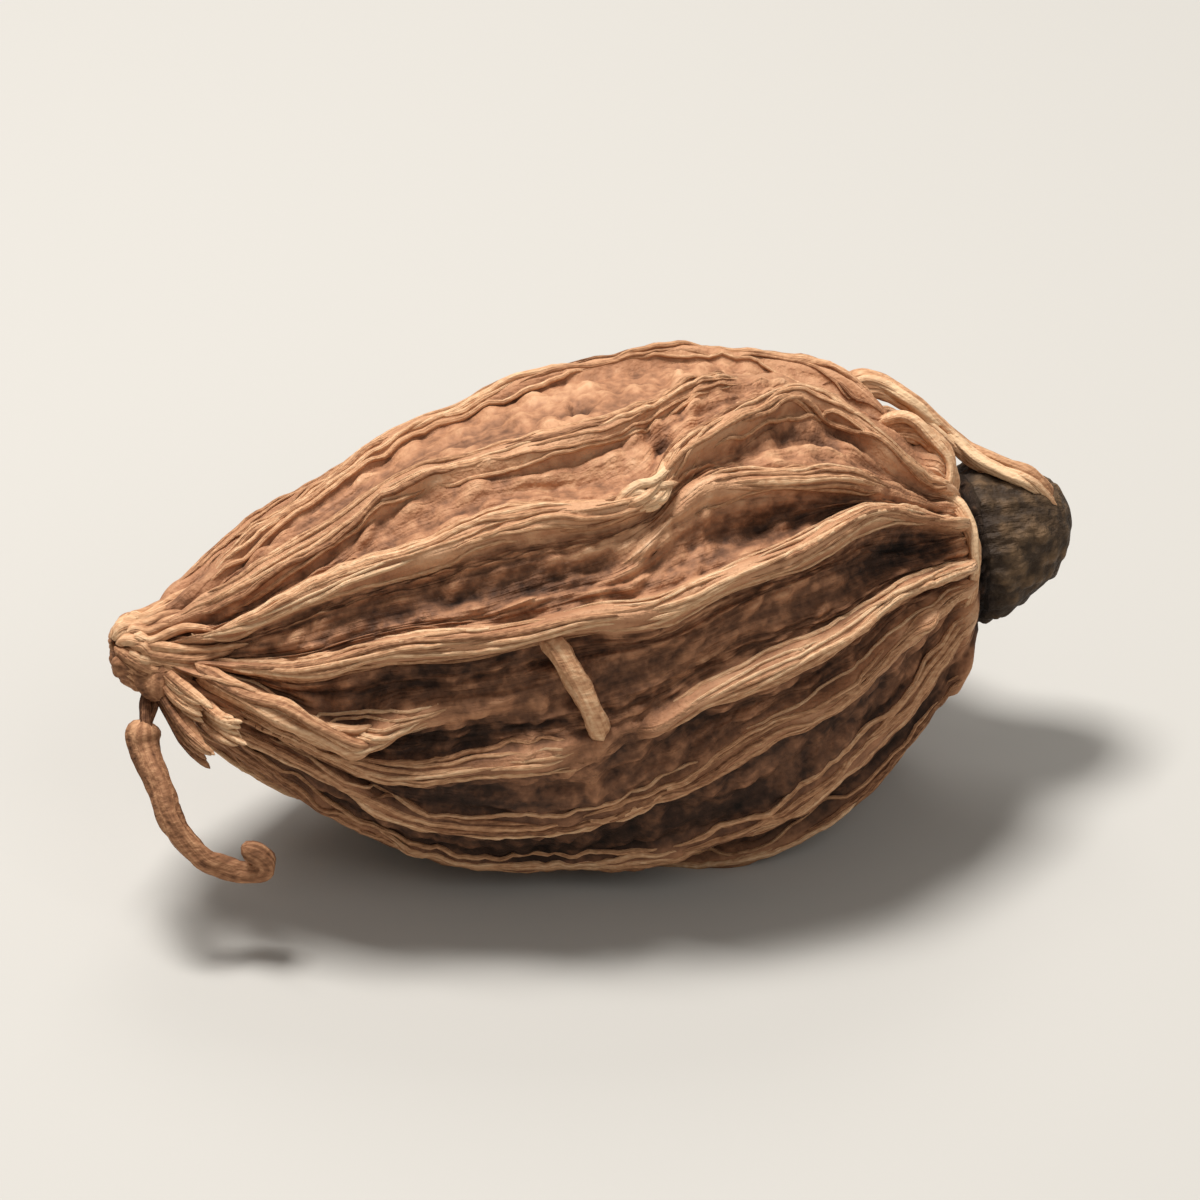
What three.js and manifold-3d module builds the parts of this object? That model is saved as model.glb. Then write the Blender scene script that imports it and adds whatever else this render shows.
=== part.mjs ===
// A dried black cardamom pod: one closed husk with raised lengthwise ribs, a torn stalk knot with
// frayed fibres at one end and the blunt stub of the dried flower at the other.
// It grew as one piece, so it is one solid. It lies on the flattened spot of its belly.
//
// Millimetres, +Z up. +X runs along the pod from the stalk to the nose, -Y is the front, and the
// origin is on the surface that the pod lies on, under the middle of its length.
// A place on the husk is given by its distance from the stalk tip, along the pod, and by its angle
// round the pod: 0 degrees faces the front, 90 degrees the top.

import * as THREE from "three";
import { mergeVertices } from "three/addons/utils/BufferGeometryUtils.js";
import Module from "manifold-3d";

// Overall sizes
const POD_LENGTH = 24;
const BELLY_RADIUS = 5.85; // of the skin between the ribs, where the pod is widest
const BELLY_PLACE = 13.3; // distance of the widest place from the stalk tip
const FLAT_DEPTH = 0.27; // how much of the belly's skin is flattened where the pod lies
const AXIS_HEIGHT = BELLY_RADIUS - FLAT_DEPTH;

// How far the axis bends up at each end. A high power keeps the middle straight and turns up the end.
const STALK_LIFT = { height: 1.35, power: 5 };
const NOSE_LIFT = { height: 0.7, power: 4 };

// The husk narrows from its belly to nothing over each reach. A higher power gives fuller shoulders.
const STALK_TAPER = { reach: BELLY_PLACE, power: 2.1 };
const NOSE_TAPER = { reach: 9.3, power: 2.3 };
const VALVE_SWELL = 0.025; // the husk has three valves, so its section is faintly three-sided
const VALVE_ANGLE = 70;

// The nose is a blunt stub that grows out of the shoulders. A collar and a groove go round its root.
const NOSE = { length: 3, radius: 2.05, power: 1.8 };
const NOSE_PLACE = POD_LENGTH - NOSE.length;
const NOSE_BLEND = 6; // higher is a sharper crease between shoulders and nose
const COLLAR = { place: NOSE_PLACE - 0.75, height: 0.3, width: 0.4 };
const GROOVE = { place: NOSE_PLACE + 0.05, height: -0.3, width: 0.4 };

// The stalk knot is a small lump that covers the stalk tip.
const KNOT = { place: 0.9, halfLength: 0.9, radius: 0.68, lumpiness: 0.14 };

// Ribs of the front, from the bottom to the top of the pod. The stations of each are
// [distance from the stalk, angle, height of the crest].
const FRONT_RIBS = [
  {
    name: "lowest",
    stations: [
      [2, -38, 0.3], [6, -56, 0.34], [10, -52, 0.3], [13.7, -35, 0.34],
      [16.3, -21, 0.36], [18.5, -12, 0.36], [20.4, 2, 0.3],
    ],
  },
  {
    name: "low",
    stations: [
      [2, -16, 0.3], [4.4, -21, 0.42], [6, -30, 0.38], [9, -27, 0.2], [11.8, -16, 0.26],
      [13.8, -4, 0.36], [16, 2, 0.4], [18.2, 11, 0.4], [20.4, 17, 0.3],
    ],
  },
  {
    name: "strong lower",
    stations: [
      [2, 3, 0.3], [4, -9, 0.3], [5, -12, 0.3], [6.3, -9, 0.36], [8.7, -2, 0.36], [10.8, 2, 0.2],
      [11.8, 6, 0.46], [12.7, 11, 0.5], [14.5, 14, 0.5], [16.6, 20, 0.5], [18.2, 25, 0.5], [20.4, 26, 0.4],
    ],
  },
  {
    name: "finger",
    stations: [
      [2, 19, 0.5], [3.2, 9, 0.6], [3.9, 4, 0.62], [4.7, 0, 0.6], [5.3, 3, 0.42], [6, 8, 0.26],
      [7.2, 11, 0.18], [11, 18, 0.06], [16, 30, 0.06], [20.4, 35, 0.1],
    ],
  },
  {
    name: "main",
    stations: [
      [2, 28, 0.3], [3.9, 27, 0.44], [5.1, 31, 0.48], [7.4, 31, 0.5], [10, 32, 0.54], [11.6, 32, 0.56],
      [13.2, 35, 0.58], [14.5, 38, 0.58], [16.1, 42, 0.56], [17.6, 47, 0.54], [19, 48, 0.52],
      [20.4, 43, 0.42],
    ],
  },
  {
    name: "inner",
    stations: [
      [2, 37, 0.05], [5.3, 44, 0.05], [9, 45, 0.05], [12, 50, 0.1], [13, 55, 0.3],
      [14.1, 58, 0.36], [16.8, 57, 0.36], [18.5, 57, 0.2], [20.4, 50, 0.1],
    ],
  },
  {
    name: "arch",
    stations: [
      [2, 47, 0.45], [3.3, 54, 0.5], [4.5, 57, 0.5], [8.8, 58, 0.46], [12, 56, 0.52], [12.9, 64, 0.5],
      [14, 70, 0.48], [15.6, 78, 0.48], [16.9, 85, 0.5], [17.8, 80, 0.5], [18.9, 68, 0.5], [20.4, 57, 0.42],
    ],
  },
  {
    name: "upper",
    stations: [
      [2, 72, 0.34], [3.5, 75, 0.4], [4.9, 78, 0.42], [6.4, 82, 0.4], [9, 79, 0.4], [11.7, 77, 0.36],
      [13.3, 84, 0.28], [15.5, 94, 0.2], [17, 100, 0.14], [18.2, 93, 0.1], [20.4, 73, 0.24],
    ],
  },
  {
    name: "top",
    stations: [
      [2, 98, 0.3], [4.2, 105, 0.34], [6.7, 116, 0.4], [9, 119, 0.38], [11.3, 117, 0.38], [15.9, 118, 0.44],
      [17.4, 116, 0.5], [18.4, 108, 0.55], [19.1, 97, 0.4], [19.8, 92, 0.12], [20.4, 90, 0.1],
    ],
  },
];

// Ribs of the back and the underside are spread evenly over what the front leaves, and wander.
const BACK_RIB_COUNT = 8;
const BACK_RIB_HEIGHT = 0.36;
const BACK_RIB_VARIATION = 0.12;
const BACK_RIB_WANDER = 4; // degrees
const LONG_WAVE = 15; // lengths of the waves that the ribs wander and swell by
const SHORT_WAVE = 3.7;
const SHORT_WANDER = 0.5; // degrees
const GOLDEN_ANGLE = Math.PI * (3 - Math.sqrt(5)); // sets each rib's waves out of step with the next

const RIB_HALF_WIDTH = 0.46;
const CREST_SHARE = 0.36; // of the rib's half-width is its flat crest
const ROOM_SHARE = 0.42; // of the way to the next rib is the most that a rib's half-width takes
const CREST_SWELL = 0.12; // share by which a crest rises and falls along its length
const VALLEY_SAG = 0.2; // the skin sinks between two ribs
const RIB_START = [0.5, 1.8]; // the ribs rise out of the knot between these distances
const RIB_END = [COLLAR.place, NOSE_PLACE + 0.6]; // and fade over the nose between these
const NOSE_RIB_SHARE = 0.3; // of a rib's height goes on over the nose
const TIP_ROOM = 1; // below this radius all relief shrinks with the husk

// Loose fibres: each route is a list of [distance from the stalk, angle, height above the skin].
const FIBRES = [
  {
    name: "stalk base",
    route: [[0.96, 40, -0.8], [0.86, -19, -0.15], [0.76, -32, 0.6]],
    radii: [0.6, 0.5],
  },
  {
    name: "hook",
    route: [
      [0.9, -30, -0.4], [0.6, -49, 0.55], [0.3, -53, 2.1], [0.45, -47, 2.85], [0.6, -47, 3.55],
      [1.07, -48, 3.85], [1.8, -45, 3.4], [2.5, -37, 2.8], [2.15, -32, 2.7],
    ],
    radii: [0.34, 0.2],
  },
  { name: "front stub", route: [[0.9, -15, -0.6], [1.1, -3, 0.55], [1.65, 0, 1]], radii: [0.32, 0.26] },
  { name: "low stub", route: [[0.8, -38, 0], [1.15, -25, 1.15], [1.6, -22, 1.6]], radii: [0.32, 0.24] },
  { name: "outward stub", route: [[1.3, -30, -0.7], [1.75, -8, 0.65], [2.2, 2, 1.5]], radii: [0.34, 0.3] },
  { name: "back stub", route: [[1, 200, -0.6], [1, 215, 0.6], [1.5, 228, 1.1]], radii: [0.34, 0.22] },
  {
    name: "shoulder strand",
    route: [[18.4, 115, -0.3], [19.2, 112, 0.75], [20.1, 110, 0.95], [20.9, 110, 0.8], [21.9, 100, -0.4]],
    radii: [0.3, 0.26],
  },
  {
    name: "collar strand",
    route: [[19, 95, -0.3], [19.7, 87, 0.5], [20.2, 80, 0.6], [20.5, 72, 0.45], [20.25, 59, -0.2]],
    radii: [0.27, 0.22],
  },
  {
    name: "back strand",
    route: [[18.8, 188, -0.3], [20.2, 180, 0.7], [21.9, 168, -0.4]],
    radii: [0.3, 0.24],
  },
  {
    name: "nose edge",
    route: [[21.3, 88, -0.3], [22.2, 85, 0.14], [22.9, 76, 0.1], [23.6, 45, -0.4]],
    radii: [0.3, 0.26],
  },
  {
    name: "splinter",
    route: [[9.3, 29, -0.35], [9.5, 25, 0.2], [10.15, 8, 0.2], [10.35, 2, -0.35]],
    radii: [0.26, 0.26],
  },
];
const FIBRE_SIDES = 6;
const FIBRE_STEP = 0.45;

const HUSK_ROWS = 56;
const ROW_CROWDING = 0.45; // 0 spaces the rows evenly along the pod, 1 crowds them at both ends
const RIB_COLUMNS = 5; // foot, crest edge, crest edge, foot and the valley's middle
const KNOT_COLUMNS = 12;
const KNOT_ROWS = 8;

const HUSK_COLOUR = "#5c4130";
const HUSK_ROUGHNESS = 0.68;

const wasm = await Module();
wasm.setup();

// The smooth husk

function bodyRadius(place) {
  const { reach, power } = place < BELLY_PLACE ? STALK_TAPER : NOSE_TAPER;
  const share = Math.min(1, Math.abs(place - BELLY_PLACE) / reach);
  return BELLY_RADIUS * (1 - share ** power);
}

function noseRadius(place) {
  const share = Math.min(1, Math.abs(place - NOSE_PLACE) / NOSE.length);
  return NOSE.radius * Math.sqrt(1 - share ** NOSE.power);
}

function huskRadius(place, angle) {
  const body = bodyRadius(place);
  const nose = place > BELLY_PLACE ? noseRadius(place) : 0;
  const joined = (body ** NOSE_BLEND + nose ** NOSE_BLEND) ** (1 / NOSE_BLEND);
  const valves = Math.cos(3 * THREE.MathUtils.degToRad(angle - VALVE_ANGLE));
  return joined * (1 + VALVE_SWELL * valves * (body / BELLY_RADIUS));
}

// A point at a distance from the stalk tip, an angle round the pod and a height above the smooth skin.
function onHusk(place, angle, height) {
  const turn = THREE.MathUtils.degToRad(angle);
  const reach = huskRadius(place, angle) + height;
  const fromMiddle = place - POD_LENGTH / 2;
  const { height: lift, power } = fromMiddle < 0 ? STALK_LIFT : NOSE_LIFT;
  const axis = AXIS_HEIGHT + lift * Math.abs(fromMiddle / (POD_LENGTH / 2)) ** power;
  return new THREE.Vector3(fromMiddle, -reach * Math.cos(turn), axis + reach * Math.sin(turn));
}

// The ribs

// A smooth curve through [place, value] pairs, held level outside them.
function curveThrough(pairs) {
  const spline = new THREE.SplineCurve(pairs.map(([place, value]) => new THREE.Vector2(place, value)));
  const last = pairs.length - 1;
  return (place) => {
    const next = pairs.findIndex(([x]) => x > place);
    if (next === 0) return pairs[0][1];
    if (next === -1) return pairs[last][1];
    const [from, to] = [pairs[next - 1][0], pairs[next][0]];
    // The spline's own parameter isn't even in place, so the share is found by halving.
    let [low, high] = [(next - 1) / last, next / last];
    for (let i = 0; i < 20; i++) {
      const middle = (low + high) / 2;
      if (spline.getPoint(middle).x < THREE.MathUtils.clamp(place, from, to)) low = middle;
      else high = middle;
    }
    return spline.getPoint(low).y;
  };
}

function wave(place, length, index, rate) {
  return Math.sin((2 * Math.PI * place) / length + rate * index * GOLDEN_ANGLE);
}

// Each rib as two functions of place: its angle, rising from rib to rib round the pod, and its height.
function makeRibs() {
  const front = FRONT_RIBS.map(({ stations }) => ({
    angle: curveThrough(stations.map(([place, angle]) => [place, angle])),
    height: curveThrough(stations.map(([place, , height]) => [place, height])),
  }));
  const [bottom, top] = [front[0], front[front.length - 1]];
  const back = Array.from({ length: BACK_RIB_COUNT }, (_, i) => {
    const share = (i + 1) / (BACK_RIB_COUNT + 1);
    const angle = (place) =>
      THREE.MathUtils.lerp(top.angle(place), bottom.angle(place) + 360, share) +
      BACK_RIB_WANDER * wave(place, LONG_WAVE, i, 1);
    const height = (place) => BACK_RIB_HEIGHT + BACK_RIB_VARIATION * wave(place, LONG_WAVE, i, 2);
    return { angle, height };
  });
  return [...front, ...back].map(({ angle, height }, i) => ({
    angle: (place) => angle(place) + SHORT_WANDER * wave(place, SHORT_WAVE, i, 3),
    height: (place) => height(place) * (1 + CREST_SWELL * wave(place, SHORT_WAVE, i, 5)),
  }));
}

// The share of its full height that a rib has at a place
function ribEnvelope(place) {
  const started = THREE.MathUtils.smoothstep(place, ...RIB_START);
  const ended = THREE.MathUtils.smoothstep(place, ...RIB_END);
  return started * (1 - (1 - NOSE_RIB_SHARE) * ended);
}

// The collar and the groove, as height above the smooth skin
function ringHeight(place) {
  const bump = (ring) => ring.height * Math.exp(-(((place - ring.place) / ring.width) ** 2));
  return bump(COLLAR) + bump(GROOVE);
}

// One row of the husk: [angle, height above the smooth skin] of every column, in order round the pod.
function huskRow(ribs, place) {
  const radius = huskRadius(place, 0);
  const room = Math.min(1, radius / TIP_ROOM);
  const ring = ringHeight(place);
  const angles = ribs.map((rib) => rib.angle(place));
  const count = ribs.length;
  const gaps = angles.map((angle, i) => (i + 1 < count ? angles[i + 1] : angles[0] + 360) - angle);
  const widest = THREE.MathUtils.radToDeg(RIB_HALF_WIDTH / Math.max(radius, RIB_HALF_WIDTH));
  const halves = gaps.map((gap, i) => {
    const gapBefore = gaps[(i + count - 1) % count];
    return Math.min(widest, ROOM_SHARE * Math.min(gap, gapBefore));
  });
  return ribs.flatMap((rib, i) => {
    const half = halves[i];
    const crest = room * (rib.height(place) * ribEnvelope(place) + ring);
    const valley = angles[i] + (half + gaps[i] - halves[(i + 1) % count]) / 2;
    const sag = room * (ring - VALLEY_SAG * ribEnvelope(place));
    return [
      [angles[i] - half, room * ring],
      [angles[i] - CREST_SHARE * half, crest],
      [angles[i] + CREST_SHARE * half, crest],
      [angles[i] + half, room * ring],
      [valley, sag],
    ];
  });
}

// Solids

// A closed skin of columns by rows, with each point placed by its column and row.
function wrap(columns, rows, place) {
  const skin = new THREE.SphereGeometry(1, columns, rows);
  const { position, uv } = skin.attributes;
  for (let i = 0; i < position.count; i++) {
    const column = Math.round(uv.getX(i) * columns) % columns;
    const row = Math.round((1 - uv.getY(i)) * rows);
    position.setXYZ(i, ...place(column, row));
  }
  return skin;
}

function solidOf(geometry) {
  geometry.deleteAttribute("normal");
  geometry.deleteAttribute("uv");
  const merged = mergeVertices(geometry);
  const solid = new wasm.Manifold(
    new wasm.Mesh({
      numProp: 3,
      vertProperties: merged.attributes.position.array,
      triVerts: new Uint32Array(merged.index.array),
    }),
  );
  if (solid.volume() <= 0) throw new Error("a skin is inside out");
  return solid;
}

function geometryOf(solid) {
  const { vertProperties, triVerts } = solid.getMesh();
  return new THREE.BufferGeometry()
    .setAttribute("position", new THREE.BufferAttribute(vertProperties, 3))
    .setIndex(new THREE.BufferAttribute(triVerts, 1));
}

function makeHusk() {
  const ribs = makeRibs();
  const rows = Array.from({ length: HUSK_ROWS + 1 }, (_, i) => {
    const even = i / HUSK_ROWS;
    const crowded = (1 - Math.cos(Math.PI * even)) / 2;
    const place = POD_LENGTH * THREE.MathUtils.lerp(even, crowded, ROW_CROWDING);
    return { place, points: huskRow(ribs, place) };
  });
  const columns = RIB_COLUMNS * ribs.length;
  return solidOf(
    wrap(columns, HUSK_ROWS, (column, row) => {
      const { place, points } = rows[row];
      const isTip = row === 0 || row === HUSK_ROWS;
      const [angle, height] = isTip ? [0, 0] : points[column];
      return onHusk(place, angle, height);
    }),
  );
}

function makeKnot() {
  return solidOf(
    wrap(KNOT_COLUMNS, KNOT_ROWS, (column, row) => {
      const turn = (Math.PI * row) / KNOT_ROWS;
      const angle = (360 * column) / KNOT_COLUMNS;
      const place = KNOT.place - KNOT.halfLength * Math.cos(turn);
      const lumps = KNOT.lumpiness * Math.cos(3 * THREE.MathUtils.degToRad(angle));
      const reach = KNOT.radius * Math.sin(turn) * (1 + lumps * Math.sin(turn));
      return onHusk(place, angle, reach - huskRadius(place, angle));
    }),
  );
}

function makeFibre({ route, radii }) {
  const path = new THREE.CatmullRomCurve3(route.map((point) => onHusk(...point)));
  const count = Math.max(6, Math.round(path.getLength() / FIBRE_STEP));
  const frames = path.computeFrenetFrames(count);
  return solidOf(
    wrap(FIBRE_SIDES, count, (side, row) => {
      const share = row / count;
      const isEnd = row === 0 || row === count;
      const reach = isEnd ? 0 : THREE.MathUtils.lerp(...radii, share);
      const turn = (2 * Math.PI * side) / FIBRE_SIDES;
      return path
        .getPointAt(share)
        .addScaledVector(frames.normals[row], reach * Math.cos(turn))
        .addScaledVector(frames.binormals[row], -reach * Math.sin(turn));
    }),
  );
}

// What lies below the surface that the pod rests on: cutting it away leaves the flat spot.
function makeGround() {
  const depth = BELLY_RADIUS;
  const side = 2 * POD_LENGTH;
  return solidOf(new THREE.BoxGeometry(side, side, depth).translate(0, 0, -depth / 2));
}

function makePod() {
  const husk = makeHusk().add(makeKnot());
  const grown = FIBRES.map(makeFibre).reduce((solid, fibre) => solid.add(fibre), husk);
  const pod = new THREE.Mesh(
    geometryOf(grown.subtract(makeGround())),
    new THREE.MeshStandardMaterial({ color: HUSK_COLOUR, roughness: HUSK_ROUGHNESS, metalness: 0 }),
  );
  pod.name = "pod";
  return pod;
}

const cardamom = new THREE.Group();
cardamom.add(makePod());

export default cardamom;
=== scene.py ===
# %% [markdown]
# # A dried black cardamom pod
# The pod is the fruit of a plant of the ginger family, dried whole over a smoky fire. Its husk is a tough
# bag of fibres: pale cords run from the stalk to the nose, and between them the skin shrinks and darkens.
# The imported solid gives the size and the place. This lesson rebuilds its skin with many more points, so that
# the cords, veins and torn fibres are real shapes. The solid's box is kept here; its middle places the lamps
# and camera.

# %% Load the frame and keep its box
import math

import bpy
import numpy as np
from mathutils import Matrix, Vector


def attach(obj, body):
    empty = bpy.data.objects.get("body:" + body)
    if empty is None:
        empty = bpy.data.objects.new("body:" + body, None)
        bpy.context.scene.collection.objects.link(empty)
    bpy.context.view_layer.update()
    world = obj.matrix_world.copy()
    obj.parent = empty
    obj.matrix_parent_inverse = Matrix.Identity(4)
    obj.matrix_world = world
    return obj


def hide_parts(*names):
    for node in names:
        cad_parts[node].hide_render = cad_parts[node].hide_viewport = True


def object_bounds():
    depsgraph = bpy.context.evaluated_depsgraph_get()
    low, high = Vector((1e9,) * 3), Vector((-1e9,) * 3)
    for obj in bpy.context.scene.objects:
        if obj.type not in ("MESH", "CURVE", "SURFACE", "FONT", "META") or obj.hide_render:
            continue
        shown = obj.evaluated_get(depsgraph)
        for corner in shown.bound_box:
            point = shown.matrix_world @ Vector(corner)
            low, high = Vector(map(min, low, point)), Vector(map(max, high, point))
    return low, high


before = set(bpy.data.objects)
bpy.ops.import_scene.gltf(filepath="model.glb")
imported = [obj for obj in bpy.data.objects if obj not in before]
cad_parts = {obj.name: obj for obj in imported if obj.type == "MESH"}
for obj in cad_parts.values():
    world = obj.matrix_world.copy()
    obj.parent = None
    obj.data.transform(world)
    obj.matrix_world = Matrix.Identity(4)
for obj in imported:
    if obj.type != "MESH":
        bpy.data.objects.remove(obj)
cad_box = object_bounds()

MM = 0.001  # every size below is in millimetres, and Blender works in metres
print("solid's box, mm:", [[round(v / MM, 2) for v in corner] for corner in cad_box])

# %% [markdown]
# ## One helper for nodes
# Geometry Nodes and materials are both graphs of nodes. They could be clicked together by hand, but a script
# can be read, repeated and changed in one place. One function adds any node: it sets the node's properties,
# then fills its sockets, by a link where it is given another node and by a value otherwise.

# %% Node and tree helpers
MATH, VECTOR_MATH, MIX = "ShaderNodeMath", "ShaderNodeVectorMath", "ShaderNodeMix"


def add(tree, kind, sockets=(), **settings):
    """Adds a node. Sockets are filled in order, or by name if they come as a dictionary."""
    made = tree.nodes.new(kind)
    for name, value in settings.items():
        setattr(made, name, value)
    shown = [socket for socket in made.inputs if socket.enabled]
    pairs = sockets.items() if isinstance(sockets, dict) else enumerate(sockets)
    for key, value in pairs:
        socket = shown[key] if isinstance(key, int) else made.inputs[key]
        if isinstance(value, bpy.types.Node):
            value = next(output for output in value.outputs if output.enabled)
        if isinstance(value, bpy.types.NodeSocket):
            tree.links.new(value, socket)
        elif value is not None:
            socket.default_value = value
    return made


def start_tree(name, inputs, outputs):
    """A new Geometry Nodes tree. Returns it, its named inputs and the node that takes its outputs."""
    tree = bpy.data.node_groups.new(name, "GeometryNodeTree")
    for label, value in inputs.items():
        kind = value if isinstance(value, str) else "Int" if isinstance(value, int) else "Float"
        socket = tree.interface.new_socket(label, in_out="INPUT", socket_type="NodeSocket" + kind)
        if not isinstance(value, str):
            socket.default_value = value
    for label, kind in outputs.items():
        tree.interface.new_socket(label, in_out="OUTPUT", socket_type="NodeSocket" + kind)
    return tree, tree.nodes.new("NodeGroupInput").outputs, tree.nodes.new("NodeGroupOutput")


# %% [markdown]
# ## The rule of the smooth husk
# Without its cords the husk is a simple body: a bent axis, and a radius that grows from nothing at the stalk
# to the belly and falls again to a blunt nose. It could be sculpted, but a rule keeps it equal to the solid.
# The rule is a node group of its own. It turns three plain numbers - distance from the stalk tip, angle round
# the pod and height above the skin - into a point, so that the skin, the cords and the fibres all share it.

# %% Node group: a point on the husk
POD_LENGTH = 24.0
BELLY_RADIUS, BELLY_PLACE = 5.85, 13.3  # the widest place, as a distance from the stalk tip
STALK_FULLNESS, NOSE_FULLNESS, NOSE_REACH = 2.1, 2.3, 9.3  # powers of the two tapers, reach of the nose's
NOSE_RADIUS, NOSE_LENGTH = 2.05, 3.0
NOSE_POWER = 1.8  # of the curve that rounds the nose
NOSE_BLEND = 6.0  # higher is a sharper crease between the shoulders and the nose
VALVES, VALVE_SWELL, VALVE_ANGLE = 3.0, 0.025, math.radians(70)  # they make the section faintly three-sided
STALK_BEND, NOSE_BEND = 5.0, 4.0  # powers: a high one keeps the middle straight and turns up the end

point_tree, given, result = start_tree("point_on_husk", {
    "Place": 0.0, "Angle": 0.0, "Height": 0.0, "Pod Length": POD_LENGTH, "Axis Height": 5.58,
    "Belly Radius": BELLY_RADIUS, "Belly Place": BELLY_PLACE, "Stalk Fullness": STALK_FULLNESS,
    "Nose Reach": NOSE_REACH, "Nose Fullness": NOSE_FULLNESS, "Nose Radius": NOSE_RADIUS,
    "Nose Length": NOSE_LENGTH, "Stalk Lift": 1.35, "Nose Lift": 0.7,
}, {"Point": "Vector", "Radius": "Float"})
t = point_tree

# The body's radius
off = add(t, MATH, (given["Place"], given["Belly Place"]), operation="SUBTRACT")
past_belly = add(t, MATH, (off, 0.0), operation="GREATER_THAN")
reach = add(t, MIX, (past_belly, given["Belly Place"], given["Nose Reach"]))
fullness = add(t, MIX, (past_belly, given["Stalk Fullness"], given["Nose Fullness"]))
off = add(t, MATH, (off,), operation="ABSOLUTE")
off = add(t, MATH, (off, reach), operation="DIVIDE", use_clamp=True)
fall = add(t, MATH, (off, fullness), operation="POWER")
body_share = add(t, MATH, (1.0, fall), operation="SUBTRACT")
body = add(t, MATH, (body_share, given["Belly Radius"]), operation="MULTIPLY")

# The nose's radius, joined to it with a soft crease
nose_place = add(t, MATH, (given["Pod Length"], given["Nose Length"]), operation="SUBTRACT")
off = add(t, MATH, (given["Place"], nose_place), operation="SUBTRACT")
off = add(t, MATH, (off,), operation="ABSOLUTE")
off = add(t, MATH, (off, given["Nose Length"]), operation="DIVIDE", use_clamp=True)
fall = add(t, MATH, (off, NOSE_POWER), operation="POWER")
nose = add(t, MATH, (1.0, fall), operation="SUBTRACT")
nose = add(t, MATH, (nose,), operation="SQRT")
nose = add(t, MATH, (nose, given["Nose Radius"]), operation="MULTIPLY")
nose = add(t, MATH, (nose, past_belly), operation="MULTIPLY")
body = add(t, MATH, (body, NOSE_BLEND), operation="POWER")
nose = add(t, MATH, (nose, NOSE_BLEND), operation="POWER")
joined = add(t, MATH, (body, nose), operation="ADD")
joined = add(t, MATH, (joined, 1 / NOSE_BLEND), operation="POWER")

# The three valves
turn = add(t, MATH, (given["Angle"],), operation="RADIANS")
valves = add(t, MATH, (turn, VALVE_ANGLE), operation="SUBTRACT")
valves = add(t, MATH, (valves, VALVES), operation="MULTIPLY")
valves = add(t, MATH, (valves,), operation="COSINE")
valves = add(t, MATH, (valves, body_share), operation="MULTIPLY")
valves = add(t, MATH, (valves, VALVE_SWELL, 1.0), operation="MULTIPLY_ADD")
radius = add(t, MATH, (joined, valves), operation="MULTIPLY")

# The axis bends up at both ends, and the point stands off from it
middle = add(t, MATH, (given["Pod Length"], 0.5), operation="MULTIPLY")
along = add(t, MATH, (given["Place"], middle), operation="SUBTRACT")
nose_side = add(t, MATH, (along, 0.0), operation="GREATER_THAN")
lift = add(t, MIX, (nose_side, given["Stalk Lift"], given["Nose Lift"]))
bend = add(t, MIX, (nose_side, STALK_BEND, NOSE_BEND))
ends = add(t, MATH, (along,), operation="ABSOLUTE")
ends = add(t, MATH, (ends, middle), operation="DIVIDE")
ends = add(t, MATH, (ends, bend), operation="POWER")
axis = add(t, MATH, (ends, lift, given["Axis Height"]), operation="MULTIPLY_ADD")
out = add(t, MATH, (radius, given["Height"]), operation="ADD")
front = add(t, MATH, (turn,), operation="COSINE")
front = add(t, MATH, (front, out), operation="MULTIPLY")
front = add(t, MATH, (front, -1.0), operation="MULTIPLY")
up = add(t, MATH, (turn,), operation="SINE")
up = add(t, MATH, (up, out, axis), operation="MULTIPLY_ADD")
point = add(t, "ShaderNodeCombineXYZ", (along, front, up))
t.links.new(point.outputs[0], result.inputs["Point"])
t.links.new(radius.outputs[0], result.inputs["Radius"])
print("husk rule:", len(t.nodes), "nodes")

# %% [markdown]
# ## The courses of the ribs
# The ribs are bundles of tough fibres under the skin. Nine of them show on the front: one forks into an arch
# near the nose and a thick short one ends like a finger near the stalk. They could be painted as bump, but
# they throw real shadows, so each is a line drawn on the husk, as stations of
# [distance from the stalk, angle round the pod, height of the crest]. Angle 0 faces the front, 90 the top.

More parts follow.
